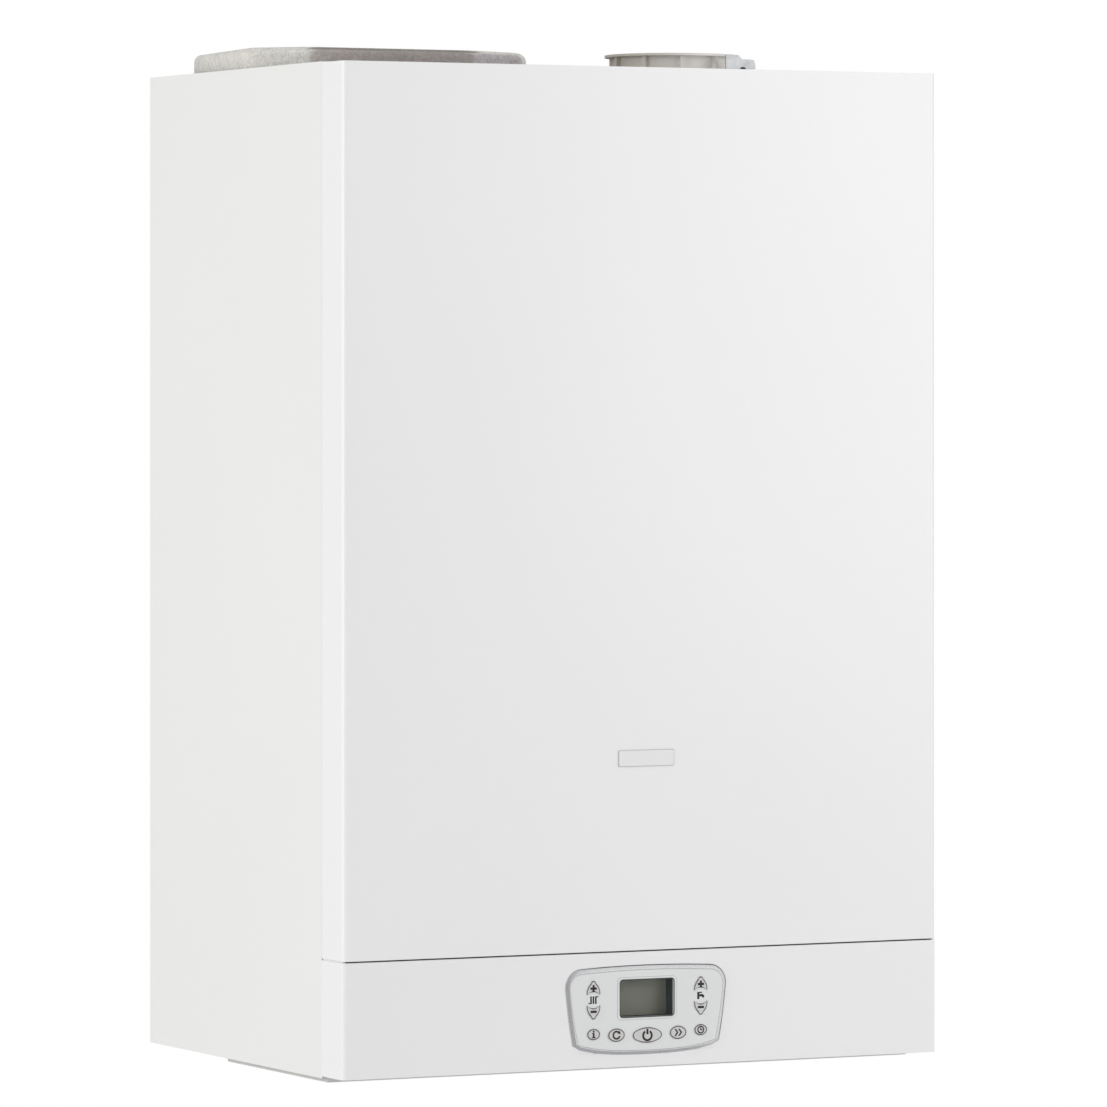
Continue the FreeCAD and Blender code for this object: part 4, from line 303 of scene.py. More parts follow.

# %% [markdown]
# ## The silver ring
#
# The ring round the keypad is plastic with silver paint, so it gets tiny bright flakes. Its grey is
# darker at the lower left than at the upper right: painted shade and painted light, as on a bevel lit from
# the upper right. Its foot has a fine line where it meets the panel, a painted shadow at the top and right
# and a painted highlight at the lower left. Its crown is as pale as the keypad, and on the lit side the
# pale crown is painted further down the bevel. How far a point stands out of the panel decides between
# foot, paint and crown.

# %% Ring finish
silver = Finish("bezel_silver", tone(193, 193, 198), 0.34, Metallic=0.45, Coat_Weight=0.2)
flake = silver.patches(2600.0)
ring_low, ring_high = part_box("bezel_ring")
ring_mid = (ring_low + ring_high) / 2
ring_half = (ring_high - ring_low) / 2
panel_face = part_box("fascia")[0].y
aside = (silver.axis("X") - ring_mid.x) / ring_half.x
above = (silver.axis("Z") - ring_mid.z) / ring_half.z
# How much painted light a point gets: the ring is painted lighter towards its upper right and darker
# towards its lower left.
lit = (aside + above).step(-0.5, 0.5)
rise = (panel_face - silver.axis("Y")) / MM
# The silver in painted shade and in painted light, both with flakes.
dull = silver.mix(flake, tone(164, 164, 169), tone(186, 186, 190))
bright = silver.mix(flake, tone(212, 212, 215), tone(226, 226, 229))
painted = silver.mix(lit, dull, bright)
# The pale crown reaches further down the bevel where the painted light falls.
crown = rise.step(1.3, 1.8) * lit + rise.step(2.0, 2.15) * (1 - lit)
crowned = silver.mix(crown, painted, tone(225, 227, 226))
# Painted shadow along the foot at the top and right, painted highlight along it at the lower left.
foot_shadow_and_highlight = silver.mix(lit, tone(236, 236, 236), tone(96, 92, 92))
foot = 1 - rise.step(0.25, 0.55) * lit - rise.step(0.1, 0.25) * (1 - lit)
silver.feed(Base_Color=silver.mix(foot, crowned, foot_shadow_and_highlight))
silver.feed(Roughness=flake * 0.16 + 0.26)
silver.bump(flake, 0.05, 0.00002)
finishes["bezel_silver"] = silver
print("silver ring of", round(ring_half.x * 2 / MM), "x", round(ring_half.z * 2 / MM), "mm")

# %% [markdown]
# ## The display and the boards
#
# The display lies at the bottom of a short dark well behind a clear window. One finish covers both: the
# depth below the window decides whether a point belongs to the dark walls or to the grey-green display.
# Circuit boards are green resist over copper tracks, drawn here by a stretched brick pattern.

# %% Display and board finishes
WELL_DEPTH = 12.6 * MM
glass = Finish("lcd_glass", tone(60, 62, 58), 0.06, Alpha=0.16)
glass.feed(Roughness=glass.noise(90.0, 3.0) * 0.06 + 0.04)
finishes["lcd_glass"] = glass

well = Finish("lcd_frame", tone(60, 66, 72), 0.5)
deep = well.axis("Y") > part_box("lcd_module")[0].y + WELL_DEPTH
cloudy = well.noise(22.0, 2.0) * 0.35 + well.cells(1500.0) * 0.1
panel = well.mix(cloudy, tone(172, 174, 160), tone(156, 158, 146))
well.feed(Base_Color=well.mix(deep, tone(62, 72, 80), panel))
well.feed(Roughness=0.6 - deep * 0.3)
finishes["lcd_frame"] = well

board = Finish("board_green", tone(34, 92, 60), 0.35)
brick = {"Vector": board.stretched((260.0, 260.0, 260.0)), "Scale": 1.0, "Mortar Size": 0.09}
tracks = board.node("ShaderNodeTexBrick", {"offset": 0.37}, brick, "Fac")
board.feed(Base_Color=board.mix(tracks * 0.8, tone(30, 84, 54), tone(74, 132, 82)))
board.feed(Roughness=board.noise(300.0) * 0.2 + 0.28)
board.bump(tracks, 0.2, 0.00005)
finishes["board_green"] = board
print("window, display and board finishes made")

# %% [markdown]
# ## Moulded bead foam
#
# The block on top and the tank's jacket are moulded from fine foam beads. Where beads meet there is a
# faint groove, and each bead has its own grey. One Voronoi texture gives the beads' tint, another the
# distance to their edges, and a noise adds pores and the scuffs of handling.

# %% Foam for the jacket
BEAD = 0.0026


def foamed(slot, colour, contrast, pore_share):
    """Bead foam, and the brightness that varies over it, which the colour is multiplied by."""
    made = Finish(slot, colour, 0.9)
    groove = made.cells(1 / BEAD, "DISTANCE_TO_EDGE").step(0.0, 0.2)
    scuff = made.noise(55.0, 4.0, 0.6)
    pore = made.noise(620.0, 2.0).step(0.66, 0.74)
    speckle = made.patches(1 / BEAD) * 0.35 + scuff * 0.45 + groove * 0.2
    light = 1 + (speckle - 0.55) * contrast - pore * pore_share
    made.bump(groove * 0.5 + scuff * 0.5 - pore * 0.4, 0.5, 0.0006)
    finishes[slot] = made
    return made, light


def tinted(made, light, colour):
    """A colour brightened or darkened by a number in the tree."""
    grey = made.node("ShaderNodeCombineColor", {}, {"Red": light, "Green": light, "Blue": light})
    sockets = {0: 1.0, 6: colour if isinstance(colour, Flow) else (*colour, 1), 7: grey}
    return made.node("ShaderNodeMix", {"data_type": "RGBA", "blend_type": "MULTIPLY"}, sockets, 2)


JACKET_GREY = tone(150, 147, 142)
jacket, jacket_light = foamed("foam_grey", JACKET_GREY, 0.7, 0.3)
jacket.feed(Base_Color=tinted(jacket, jacket_light, JACKET_GREY))
print("foam with beads of", BEAD / MM, "mm")

# %% [markdown]
# The block's front is taupe and darker than its pale other faces: painted shade on the front and painted
# light on the left face. The front is lighter towards its left end. Its slanted right corner is painted
# lighter where it faces the light, and it shows dark pores. The distance from the front face and from the
# corner's slanted face decides which look a point gets. A dark line of painted shade marks the rounded
# upper edge of the front. BLOCK lists the corners of the block's head, seen from above, in millimetres.

# %% Foam for the block
BLOCK = [(-270, -27), (-289.5, -195), (-245, -240), (-77, -240), (-14, -212), (4, -180), (4, -27)]
CHAMFER_SPAN = (Vector(BLOCK[4]) - Vector(BLOCK[3])).normalized()
CHAMFER_WAY = (CHAMFER_SPAN.y, -CHAMFER_SPAN.x)
CHAMFER_REACH = Vector(BLOCK[3]).dot(CHAMFER_WAY)
cap_low, cap_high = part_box("insulation_cap")
block, block_light = foamed("cap_foam", tone(150, 144, 141), 0.55, 0.25)
behind = block.axis("Y") - cap_low.y
# Painted shade: the front face is painted darker than the other faces, which are painted pale as if lit.
shaded_front = behind.step(4.0 * MM, 1.0 * MM)
near_front = behind.step(8.0 * MM, 4.0 * MM)
beyond = block.axis("X") * CHAMFER_WAY[0] + block.axis("Y") * CHAMFER_WAY[1] - CHAMFER_REACH * MM
corner = beyond.step(-3.0 * MM, -1.0 * MM)
pitted = block.noise(420.0, 2.0).step(0.6, 0.68) * corner * 0.35
# The front is lighter towards its left end.
left_end_share = (block.axis("X") - cap_low.x).step(0.11, 0.04)
taupe = block.mix(left_end_share, tone(165, 157, 154), tone(184, 176, 172))
zone = block.mix(shaded_front, tone(220, 218, 211), taupe)
# Painted light: the slanted right corner is painted lighter where it faces the light.
zone = block.mix(corner, zone, tone(187, 181, 182))
# Painted shade along the rounded upper edge of the front.
upper_edge = (block.axis("Z") - cap_high.z + 3.2 * MM).step(0.0, 1.4 * MM)
zone = block.mix(upper_edge * near_front * (1 - corner) * 0.75, zone, tone(112, 104, 98))
block.feed(Base_Color=tinted(block, block_light - pitted, zone))
print("foam for the block of", round((cap_high.x - cap_low.x) / MM), "mm")

# %% [markdown]
# ## Dressing the solids
#
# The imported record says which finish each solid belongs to. A loop hands every solid its material, so
# nothing is left in a plain colour. The side panels and the foam block have finishes of their own.

# %% Dress the solids
OWN_FINISH = {
    "insulation_cap": "cap_foam",
    "left_side_panel": "side_white",
    "right_side_panel": "side_white",
}
for row in frame["record"]["subparts"]:
    mesh = nodes[row["node"]].data
    mesh.materials.clear()
    mesh.materials.append(finishes[OWN_FINISH.get(row["node"], row["material_slot"])].material)

# %% [markdown]
# ## Helpers for pieces
#
# Every piece added here is a mesh that moves with one of the boiler's bodies. One helper closes a bmesh
# into a mesh, and the next one makes it an object, ties it to its body and names the finish it belongs
# to.

# %% From a bmesh to a piece
BEVEL_STEPS = 2


def mesh_of(name, bm):
    bmesh.ops.recalc_face_normals(bm, faces=bm.faces)
    mesh = bpy.data.meshes.new(name)
    bm.to_mesh(mesh)
    bm.free()
    return mesh


def placed(name, mesh, body):
    """A mesh as a named piece that moves with a body."""
    piece = bpy.data.objects.new(name, mesh)
    bpy.context.scene.collection.objects.link(piece)
    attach(piece, body)
    return piece


def finish_mesh(name, bm, material, body):
    mesh = mesh_of(name, bm)
    mesh.materials.append(material)
    return placed(name, mesh, body)


def bevelled(piece, width):
    edge = piece.modifiers.new("edge", "BEVEL")
    edge.width = width
    edge.segments = BEVEL_STEPS
    edge.limit_method = "ANGLE"


# %% [markdown]
# ## Thin printed and raised shapes
#
# The key symbols are printed, and the plate on the cover is a thin stuck-on part. All of them are flat
# outlines with a little thickness. These helpers turn outlines of (x, z) points in millimetres into
# closed solids between two depths, which are given in metres.

# %% Flat pieces
def prism(bm, outline, front, back):
    """A closed solid from one outline."""
    rings = []
    for depth in (front, back):
        rings.append([bm.verts.new((x * MM, depth, z * MM)) for x, z in outline])
    bm.faces.new(rings[0])
    bm.faces.new(rings[1][::-1])
    count = len(outline)
    for index in range(count):
        following = (index + 1) % count
        bm.faces.new((rings[0][index], rings[1][index], rings[1][following], rings[0][following]))


def flat_piece(name, outlines, front, back, material, body):
    bm = bmesh.new()
    for outline in outlines:
        prism(bm, outline, front, back)
    return finish_mesh(name, bm, material, body)


def loop_piece(name, loops, front, back, material, body):
    """Closed bands between an outer and an inner outline that have equally many points."""
    bm = bmesh.new()
    for outer, inner in loops:
        count = len(outer)
        rows = []
        for outline, depth in ((outer, front), (inner, front), (inner, back), (outer, back)):
            rows.append([bm.verts.new((x * MM, depth, z * MM)) for x, z in outline])
        for this, following in zip(rows, rows[1:] + rows[:1]):
            for index in range(count):
                turn = (index + 1) % count
                bm.faces.new((this[index], following[index], following[turn], this[turn]))
    return finish_mesh(name, bm, material, body)


# %% [markdown]
# A symbol is put together from bars, arcs and rings, and a frame from a rectangle with round corners.
# Each of these functions returns the points of an outline.

# %% Outlines
CORNER_STEPS = 6


def bar(x, z, width, height):
    half, rise = width / 2, height / 2
    return [(x - half, z - rise), (x + half, z - rise), (x + half, z + rise), (x - half, z + rise)]


def arc(x, z, inner, outer, start, end, steps=24):
    """A band along part of a circle, from one angle to another in degrees."""
    angles = [math.radians(start + (end - start) * index / steps) for index in range(steps + 1)]
    rim = [(x + outer * math.cos(a), z + outer * math.sin(a)) for a in angles]
    return rim + [(x + inner * math.cos(a), z + inner * math.sin(a)) for a in reversed(angles)]


def ring(x, z, inner, outer):
    return [arc(x, z, inner, outer, 0, 180), arc(x, z, inner, outer, 180, 360)]


def dot(x, z, radius):
    steps = 16
    return arc(x, z, 0.0, radius, 0, 359, steps)[:steps + 1]


def rounded(x, z, width, height, radius):
    """A rectangle with round corners."""
    points = []
    for index, (side, level) in enumerate(((1, 1), (-1, 1), (-1, -1), (1, -1))):
        centre = (x + side * (width / 2 - radius), z + level * (height / 2 - radius))
        for step in range(CORNER_STEPS + 1):
            turn = math.radians(90 * index + 90 * step / CORNER_STEPS)
            points.append((centre[0] + radius * math.cos(turn), centre[1] + radius * math.sin(turn)))
    return points


def centre_of(node):
    low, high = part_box(node)
    return (low.x + high.x) / 2 / MM, (low.z + high.z) / 2 / MM


# %% [markdown]
# ## Key symbols
#
# Each key carries a dark printed symbol. The pairs have a plus and a minus, and the row below has general
# signs: information, restart, power, faster and clock. Each sign is drawn round a given middle, in
# millimetres.

# %% Shapes of the signs
def plus_sign(x, z):
    return [bar(x, z, 6.4, 2.1), bar(x, z + 2.1, 2.1, 2.1), bar(x, z - 2.1, 2.1, 2.1)]


def minus_sign(x, z):
    return [bar(x, z, 6.2, 2.1)]


def info_sign(x, z):
    stem = bar(x, z - 0.6, 1.7, 3.8)
    serif = bar(x - 1.15, z + 0.8, 0.8, 1.0)
    base = bar(x, z - 2.8, 3.6, 1.0)
    return [dot(x, z + 2.6, 0.95), stem, serif, base]


def restart_sign(x, z):
    tip = (x + 3.35 * math.cos(math.radians(40)), z + 3.35 * math.sin(math.radians(40)))
    arrow = [(tip[0] - 2.0, tip[1] - 0.3), (tip[0] + 1.5, tip[1] - 1.6), (tip[0] + 0.9, tip[1] + 1.8)]
    return [arc(x, z, 2.5, 4.1, 55, 345), arrow]


def power_sign(x, z):
    return [arc(x, z - 0.4, 3.3, 5.3, 122, 418, 32), bar(x, z + 3.1, 2.1, 4.8)]


def faster_sign(x, z):
    chevron = [(-1.7, 3.2), (0, 3.2), (2.4, 0), (0, -3.2), (-1.7, -3.2), (0.7, 0)]
    return [[(x + shift + right, z + up) for right, up in chevron] for shift in (-2.2, 1.6)]


def clock_sign(x, z):
    return ring(x, z, 2.35, 3.55) + [bar(x, z + 0.7, 1.1, 2.5), bar(x + 1.1, z - 0.1, 1.1, 1.0)]


def radiator_sign(x, z):
    fins = [bar(x + shift, z, 1.6, 6.8) for shift in (-2.2, 0.2, 2.6)]
    return fins + [bar(x - 3.9, z - 2.9, 1.8, 1.0), bar(x + 4.3, z + 2.9, 1.8, 1.0)]


def tap_sign(x, z):
    spout = [(-1.1, -0.8), (1.2, -0.8), (1.8, -1.9), (3.8, -1.9), (3.8, -0.2), (2.6, 1.2), (-1.1, 1.2)]
    body, handle = bar(x - 2.2, z - 0.5, 2.2, 5.4), bar(x - 0.9, z + 2.75, 4.8, 1.1)
    return [body, [(x + right, z + up) for right, up in spout], handle]


# %% [markdown]
# A symbol rides on its own key, so it moves when the key is pressed. The plus and minus keys end in a
# point, so their signs stand a little away from it. The radiator and the tap are printed on the keypad
# itself, between the two keys of a pair.

# %% Print the symbols
INK = 0.05 * MM
POINTED_SHIFT = 0.6
KEY_SIGNS = {
    "heating_plus_key": (plus_sign, -POINTED_SHIFT), "heating_minus_key": (minus_sign, POINTED_SHIFT),
    "water_plus_key": (plus_sign, -POINTED_SHIFT), "water_minus_key": (minus_sign, POINTED_SHIFT),
    "info_key": (info_sign, 0), "reset_key": (restart_sign, 0), "power_key": (power_sign, 0),
    "boost_key": (faster_sign, 0), "timer_key": (clock_sign, 0),
}
ink = Finish("symbol_ink", tone(22, 15, 13), 0.6)
ink.feed(Base_Color=ink.mix(ink.noise(1200.0), tone(16, 10, 9), tone(30, 22, 20)))
for key, (draw, shift) in KEY_SIGNS.items():
    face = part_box(key)[0].y
    x, z = centre_of(key)
    sign = draw(x, z + shift)
    flat_piece(key.replace("_key", "_sign"), sign, face - INK, face + INK, ink.material, key)

plate_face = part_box("keypad_plate")[0].y
pair_z = (centre_of("heating_plus_key")[1] + centre_of("heating_minus_key")[1]) / 2
pair_signs = {
    "radiator_sign": (radiator_sign, "heating_plus_key"),
    "tap_sign": (tap_sign, "water_plus_key"),
}
for name, (draw, key) in pair_signs.items():
    sign = draw(centre_of(key)[0], pair_z)
    flat_piece(name, sign, plate_face - INK, plate_face + INK, ink.material, "control_panel")
print("printed", len(KEY_SIGNS) + len(pair_signs), "symbols")

# %% [markdown]
# ## Lines and lips round the keys
#
# A fine dark line is printed along the edge of each key; it is print and also painted shade of the gap
# round the key. It follows the edge of the key's own solid: the corners of the flat front, sorted by their
# angle round the key's middle and moved inwards a little. The same outline, moved outwards, gives the thin
# lip of the keypad that closes the gap round the key.

# %% Key outlines
LINE_OUTER, LINE_INNER = -0.05, -0.95
LIP_OUTER, LIP_INNER = 0.7, 0.06
LIP_PROUD, LIP_DEPTH = 0.2 * INK, 0.6 * MM


def arms_round(points, middle):
    """The ways from a middle to the points of an outline, sorted by their angle."""
    return sorted((Vector(point) - middle for point in points), key=lambda arm: math.atan2(arm.y, arm.x))


def moved_out(middle, arm, distance):
    """The end of an arm after it has grown by a distance."""
    return tuple(middle + arm * (1 + distance / arm.length))


def front_outline(node, distance):
    """The edge of a node's flat front, moved outwards by a distance in millimetres."""
    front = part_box(node)[0].y + 2 * INK
    corners = [v.co for v in nodes[node].data.vertices if v.co.y < front]
    points = {(round(co.x / MM, 3), round(co.z / MM, 3)) for co in corners}
    middle = Vector(centre_of(node))
    return [moved_out(middle, arm, distance) for arm in arms_round(points, middle)]


# The dark line at each key's edge: printed ink and painted shade of the gap round the key.
edge_ink_and_gap_shade = Finish("edge_ink_and_gap_shade", tone(68, 63, 61), 0.6)
edge_ink_and_gap_shade.feed(Base_Color=edge_ink_and_gap_shade.mix(edge_ink_and_gap_shade.noise(900.0), tone(60, 55, 53), tone(80, 75, 73)))
for key in KEY_SIGNS:
    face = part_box(key)[0].y
    name = key.replace("_key", "_outline")
    line = (front_outline(key, LINE_OUTER), front_outline(key, LINE_INNER))
    loop_piece(name, [line], face - INK, face + INK, edge_ink_and_gap_shade.material, key)
keypad_paint = finishes["keypad_grey"].material
lips = [(front_outline(key, LIP_OUTER), front_outline(key, LIP_INNER)) for key in KEY_SIGNS]
loop_piece("key_lips", lips, plate_face - LIP_PROUD, plate_face + LIP_DEPTH, keypad_paint, "control_panel")
print("lines and lips of", len(lips), "keys")

# %% [markdown]
# ## Frame, mask and line round the display
#
# A pale raised frame with round corners surrounds the display, with a dark mask inside it and a fine grey
# line outside, which is painted shade along the frame's outer foot. Each is a band between two
# round-cornered rectangles: width, height and radius in millimetres.

# %% Display frame
FRAME_BAND = ((59.2, 37.7, 3.6), (55.8, 34.8, 3.4))
MASK_BAND = ((56.2, 35.2, 3.4), (54.3, 32.8, 2.4))
LINE_BAND = ((60.0, 38.5, 4.0), (59.1, 37.6, 3.6))
FRAME_RISE, FRAME_BEVEL = 0.4 * MM, 0.3 * MM
display = centre_of("lcd_window")


def display_band(name, band, rise, material):
    loop = [rounded(*display, *size) for size in band]
    return loop_piece(name, [loop], plate_face - rise, plate_face + INK, material, "control_panel")


bevelled(display_band("display_frame", FRAME_BAND, FRAME_RISE, keypad_paint), FRAME_BEVEL)
mask = moulded("display_mask", tone(66, 68, 66), 0.5)
display_band("display_mask", MASK_BAND, INK, mask.material)
# Painted shade: a grey line at the outer foot of the raised frame.
frame_foot_shade = moulded("frame_foot_shade", tone(188, 186, 192), 0.5, speck=0.02)
display_band("display_line", LINE_BAND, INK, frame_foot_shade.material)
print("display frame", FRAME_BAND[0][0], "x", FRAME_BAND[0][1], "mm with its mask and line")

# %% [markdown]
# ## A rounder lower edge for the ring and the keypad
#
# The ring's lower edge sags in the middle and lifts towards its corners, more than the solid's does.
# Below the row of keys each point of the ring and of the keypad plate moves up or down by an amount that
# depends on how far it lies from the middle. Sizes are in millimetres, and heights are shares of the
# ring's half height.

# %% How far the lower edge moves
SAG, CORNER_LIFT, CORNER_X, CORNER_FADE = 1.2, 4.1, 70.0, 5.5
LIFT_FROM, LIFT_OVER = -0.74, 0.09


def eased(value):
    """Rises smoothly from 0 to 1 as the value does."""
    value = min(1.0, max(0.0, value))
    return value * value * (3 - 2 * value)


def lower_lift(x, z):
    """How far a point of the insert moves up, in metres."""
    across = abs(x - ring_mid.x) / MM
    lift = CORNER_LIFT * min(1.0, across / CORNER_X) ** 4 - SAG
    lift *= 1 - eased((across - CORNER_X) / CORNER_FADE)
    return lift * eased((LIFT_FROM - (z - ring_mid.z) / ring_half.z) / LIFT_OVER) * MM


print("the lower edge sags by", SAG, "mm and lifts by", round(CORNER_LIFT - SAG, 1), "mm at its corners")

# %% [markdown]
# A white filler closes the panel's opening where the corners are lifted. It follows the foot of the
# ring's solid, and everywhere else it stays hidden under the ring.

# %% Filler at the corners
FILL_OUTER, FILL_HIDDEN, FILL_INNER = 0.35, -0.5, -8.0
foot_corners = [v.co for v in nodes["bezel_ring"].data.vertices if abs(v.co.y - panel_face) < INK]
foot_points = {(round(co.x / MM, 3), round(co.z / MM, 3)) for co in foot_corners}
ring_centre = Vector((ring_mid.x, ring_mid.z)) / MM
outer, inner = [], []
for arm in arms_round(foot_points, ring_centre):
    x, z = (ring_centre + arm) * MM
    reach = FILL_OUTER if lower_lift(x, z) > 0.1 * MM else FILL_HIDDEN
    outer.append(moved_out(ring_centre, arm, reach))
    inner.append(moved_out(ring_centre, arm, FILL_INNER))
loop_piece("panel_filler", [(outer, inner)], panel_face - 0.1 * INK, panel_face + MM,
           finishes["panel_white"].material, "control_panel")
print("filler with", len(outer), "points along the foot of the ring")

# %% [markdown]
# Copies of the ring and of the keypad plate get the new lower edge and take the place of the two solids.

# %% Ring and keypad
for node, name, slot in (("bezel_ring", "ring", "bezel_silver"), ("keypad_plate", "keypad", "keypad_grey")):
    mesh = nodes[node].data.copy()
    for vertex in mesh.vertices:
        vertex.co.z += lower_lift(vertex.co.x, vertex.co.z)
    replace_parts(placed(name, mesh, "control_panel"), node)
    print(name, "with", len(mesh.vertices), "points in place of", node)

# %% [markdown]
# ## The plate on the cover
#
# A small plate sits low on the cover. It is left bare: a raised plate with a fine grey rim. A rim solid
# and a face solid are enough, with a bevel so that the edges catch the light.

# %% Cover plate
PLATE_X, PLATE_Z, PLATE_WIDTH, PLATE_HEIGHT, PLATE_ROUND = 0.25, -572.8, 56.7, 15.2, 1.6
RIM_WIDTH, FACE_ROUND = 0.7, 1.2
face_finish = moulded("plate_face", tone(236, 236, 236), 0.22, 0.0007, 0.00001, 0.01)
rim_finish = moulded("plate_rim", tone(196, 197, 199), 0.3, 0.0007, 0.00001, 0.02)
cover_low, cover_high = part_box("front_cover")
rim_edge = rounded(PLATE_X, PLATE_Z, PLATE_WIDTH, PLATE_HEIGHT, PLATE_ROUND)
face_edge = rounded(PLATE_X, PLATE_Z, PLATE_WIDTH - 2 * RIM_WIDTH, PLATE_HEIGHT - 2 * RIM_WIDTH, FACE_ROUND)
bevelled(flat_piece("badge_rim", [rim_edge], cover_low.y - 0.7 * MM, cover_low.y + 0.1 * MM,
                    rim_finish.material, "front_cover"), 0.3 * MM)
bevelled(flat_piece("badge_face", [face_edge], cover_low.y - 1.0 * MM, cover_low.y - 0.6 * MM,
                    face_finish.material, "front_cover"), 0.25 * MM)
print("cover plate", PLATE_WIDTH, "x", PLATE_HEIGHT, "mm, left bare")

# %% [markdown]
# ## The foam block on the top
#
# The block is a plug in the top panel's opening with a wider head that rests on the sheet. The plug keeps
# the solid's own outline. The head has seven corners, which are rounded, and a smaller round along its
# upper edge, so that the bead texture catches the light there.

# %% Foam block
HEAD_CORNER, HEAD_EDGE = 12 * MM, 7.5 * MM
CORNER_FACETS, EDGE_FACETS, SHARP_ANGLE = 6, 5, math.radians(35)
sheet_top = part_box("top_panel")[1].z
sole = cap_low.z + INK
plug = {(v.co.x, v.co.y) for v in nodes["insulation_cap"].data.vertices if v.co.z < sole}
heart = sum((Vector(point) for point in plug), Vector((0, 0))) / len(plug)
plug = sorted(plug, key=lambda point: math.atan2(point[1] - heart.y, point[0] - heart.x))


def upright(bm, outline, low, high):
    """A closed prism between two heights from one outline of (x, y) points in metres."""
    rings = [[bm.verts.new((x, y, height)) for x, y in outline] for height in (low, high)]
    bm.faces.new(rings[0])
    bm.faces.new(rings[1])
    for index, vert in enumerate(rings[0]):
        after = (index + 1) % len(outline)
        bm.faces.new((vert, rings[0][after], rings[1][after], rings[1][index]))


bm = bmesh.new()
upright(bm, [(x * MM, y * MM) for x, y in BLOCK], sheet_top, cap_high.z)
posts = [edge for edge in bm.edges if abs(edge.verts[0].co.z - edge.verts[1].co.z) > MM]
bmesh.ops.bevel(bm, geom=posts, offset=HEAD_CORNER, segments=CORNER_FACETS, profile=0.5, affect="EDGES")
brow = [edge for edge in bm.edges if min(vert.co.z for vert in edge.verts) > cap_high.z - INK]
bmesh.ops.bevel(bm, geom=brow, offset=HEAD_EDGE, segments=EDGE_FACETS, profile=0.5, affect="EDGES")
upright(bm, plug, cap_low.z, sheet_top)
foam_block = finish_mesh("foam_block", bm, block.material, "casing")
for polygon in foam_block.data.polygons:
    polygon.use_smooth = True
foam_block.data.set_sharp_from_angle(angle=SHARP_ANGLE)
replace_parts(foam_block, "insulation_cap")
print("foam block with", len(foam_block.data.polygons), "faces")

# %% [markdown]
# ## Lips and seals in the gaps
#
# The panel's side walls have a low lip that reaches into the gap under the cover, so the gap looks
# shallow from the side. A white seal on each side panel closes the gap behind the cover's edge. Both are
# pairs of strips, and their insets from the cover's sides are given in millimetres.

# %% Lips and seals
LIP_INSETS, SEAL_INSETS = (0.9, 3.3), (0.2, 1.6)
fascia_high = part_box("fascia")[1]
side_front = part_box("left_side_panel")[0].y


def side_strips(name, insets, low, high, front, back, slot, body):
    """One strip at each side between two heights and two depths in metres."""
    bm = bmesh.new()
    for side in (-1, 1):
        left, right = sorted(side * (cover_high.x / MM - inset) for inset in insets)
        corners = ((left, low), (right, low), (right, high), (left, high))
        prism(bm, [(x, z / MM) for x, z in corners], front, back)
    finish_mesh(name, bm, finishes[slot].material, body)


side_strips("panel_lips", LIP_INSETS, fascia_high.z - 0.4 * MM, cover_low.z - 0.3 * MM,
            cover_low.y + 3.2 * MM, fascia_high.y - 1.0 * MM, "panel_white", "control_panel")
side_strips("side_seals", SEAL_INSETS, fascia_high.z + 3 * MM, cover_high.z - 2 * MM,
            cover_high.y + 0.1 * MM, side_front + 0.05 * MM, "casing_white", "casing")
print("two lips on the panel and two seals on the casing")

# %% [markdown]
# ## Screws, nuts and vents by Geometry Nodes
#
# The same pan-head screw holds the sheets together all over the casing, and the lid of the electrics has
# rows of moulded louvres. One node tree puts a copy on every point of a small mesh and turns it to the
# point's own facing direction. Realize Instances makes the copies real.

# %% A tree that puts copies on points
def copies_tree():
    """The node tree and the names of its inputs."""
    tree = bpy.data.node_groups.new("copies_on_points", "GeometryNodeTree")
    kinds = {"Points": "NodeSocketGeometry", "Copy": "NodeSocketObject", "Size": "NodeSocketFloat",
             "Finish": "NodeSocketMaterial"}
    names = {}
    for label, kind in kinds.items():
        names[label] = tree.interface.new_socket(label, in_out="INPUT", socket_type=kind).identifier
    tree.interface.new_socket("Result", in_out="OUTPUT", socket_type="NodeSocketGeometry")
    add = tree.nodes.new
    enter, leave = add("NodeGroupInput"), add("NodeGroupOutput")
    facing = add("GeometryNodeInputNamedAttribute")
    facing.data_type = "FLOAT_VECTOR"
    facing.inputs["Name"].default_value = "facing"
    turn, copy = add("FunctionNodeAlignRotationToVector"), add("GeometryNodeObjectInfo")
    turn.axis = "Z"
    onto, real = add("GeometryNodeInstanceOnPoints"), add("GeometryNodeRealizeInstances")
    dress = add("GeometryNodeSetMaterial")
    wires = (
        (enter.outputs["Points"], onto.inputs["Points"]),
        (enter.outputs["Copy"], copy.inputs["Object"]),
        (copy.outputs["Geometry"], onto.inputs["Instance"]),
        (facing.outputs["Attribute"], turn.inputs["Vector"]),
        (turn.outputs["Rotation"], onto.inputs["Rotation"]),
        (enter.outputs["Size"], onto.inputs["Scale"]),
        (onto.outputs["Instances"], real.inputs["Geometry"]),
        (real.outputs["Geometry"], dress.inputs["Geometry"]),
        (enter.outputs["Finish"], dress.inputs["Material"]),
        (dress.outputs["Geometry"], leave.inputs["Result"]),
    )
    for start, end in wires:
        tree.links.new(start, end)
    return tree, names


tree, tree_inputs = copies_tree()
print("copies tree with", len(tree.nodes), "nodes")

# %% [markdown]
# A carrier mesh holds the points and their facing directions. The tree runs on it as a modifier, the
# evaluated result is kept as a plain mesh, and the carrier is removed.

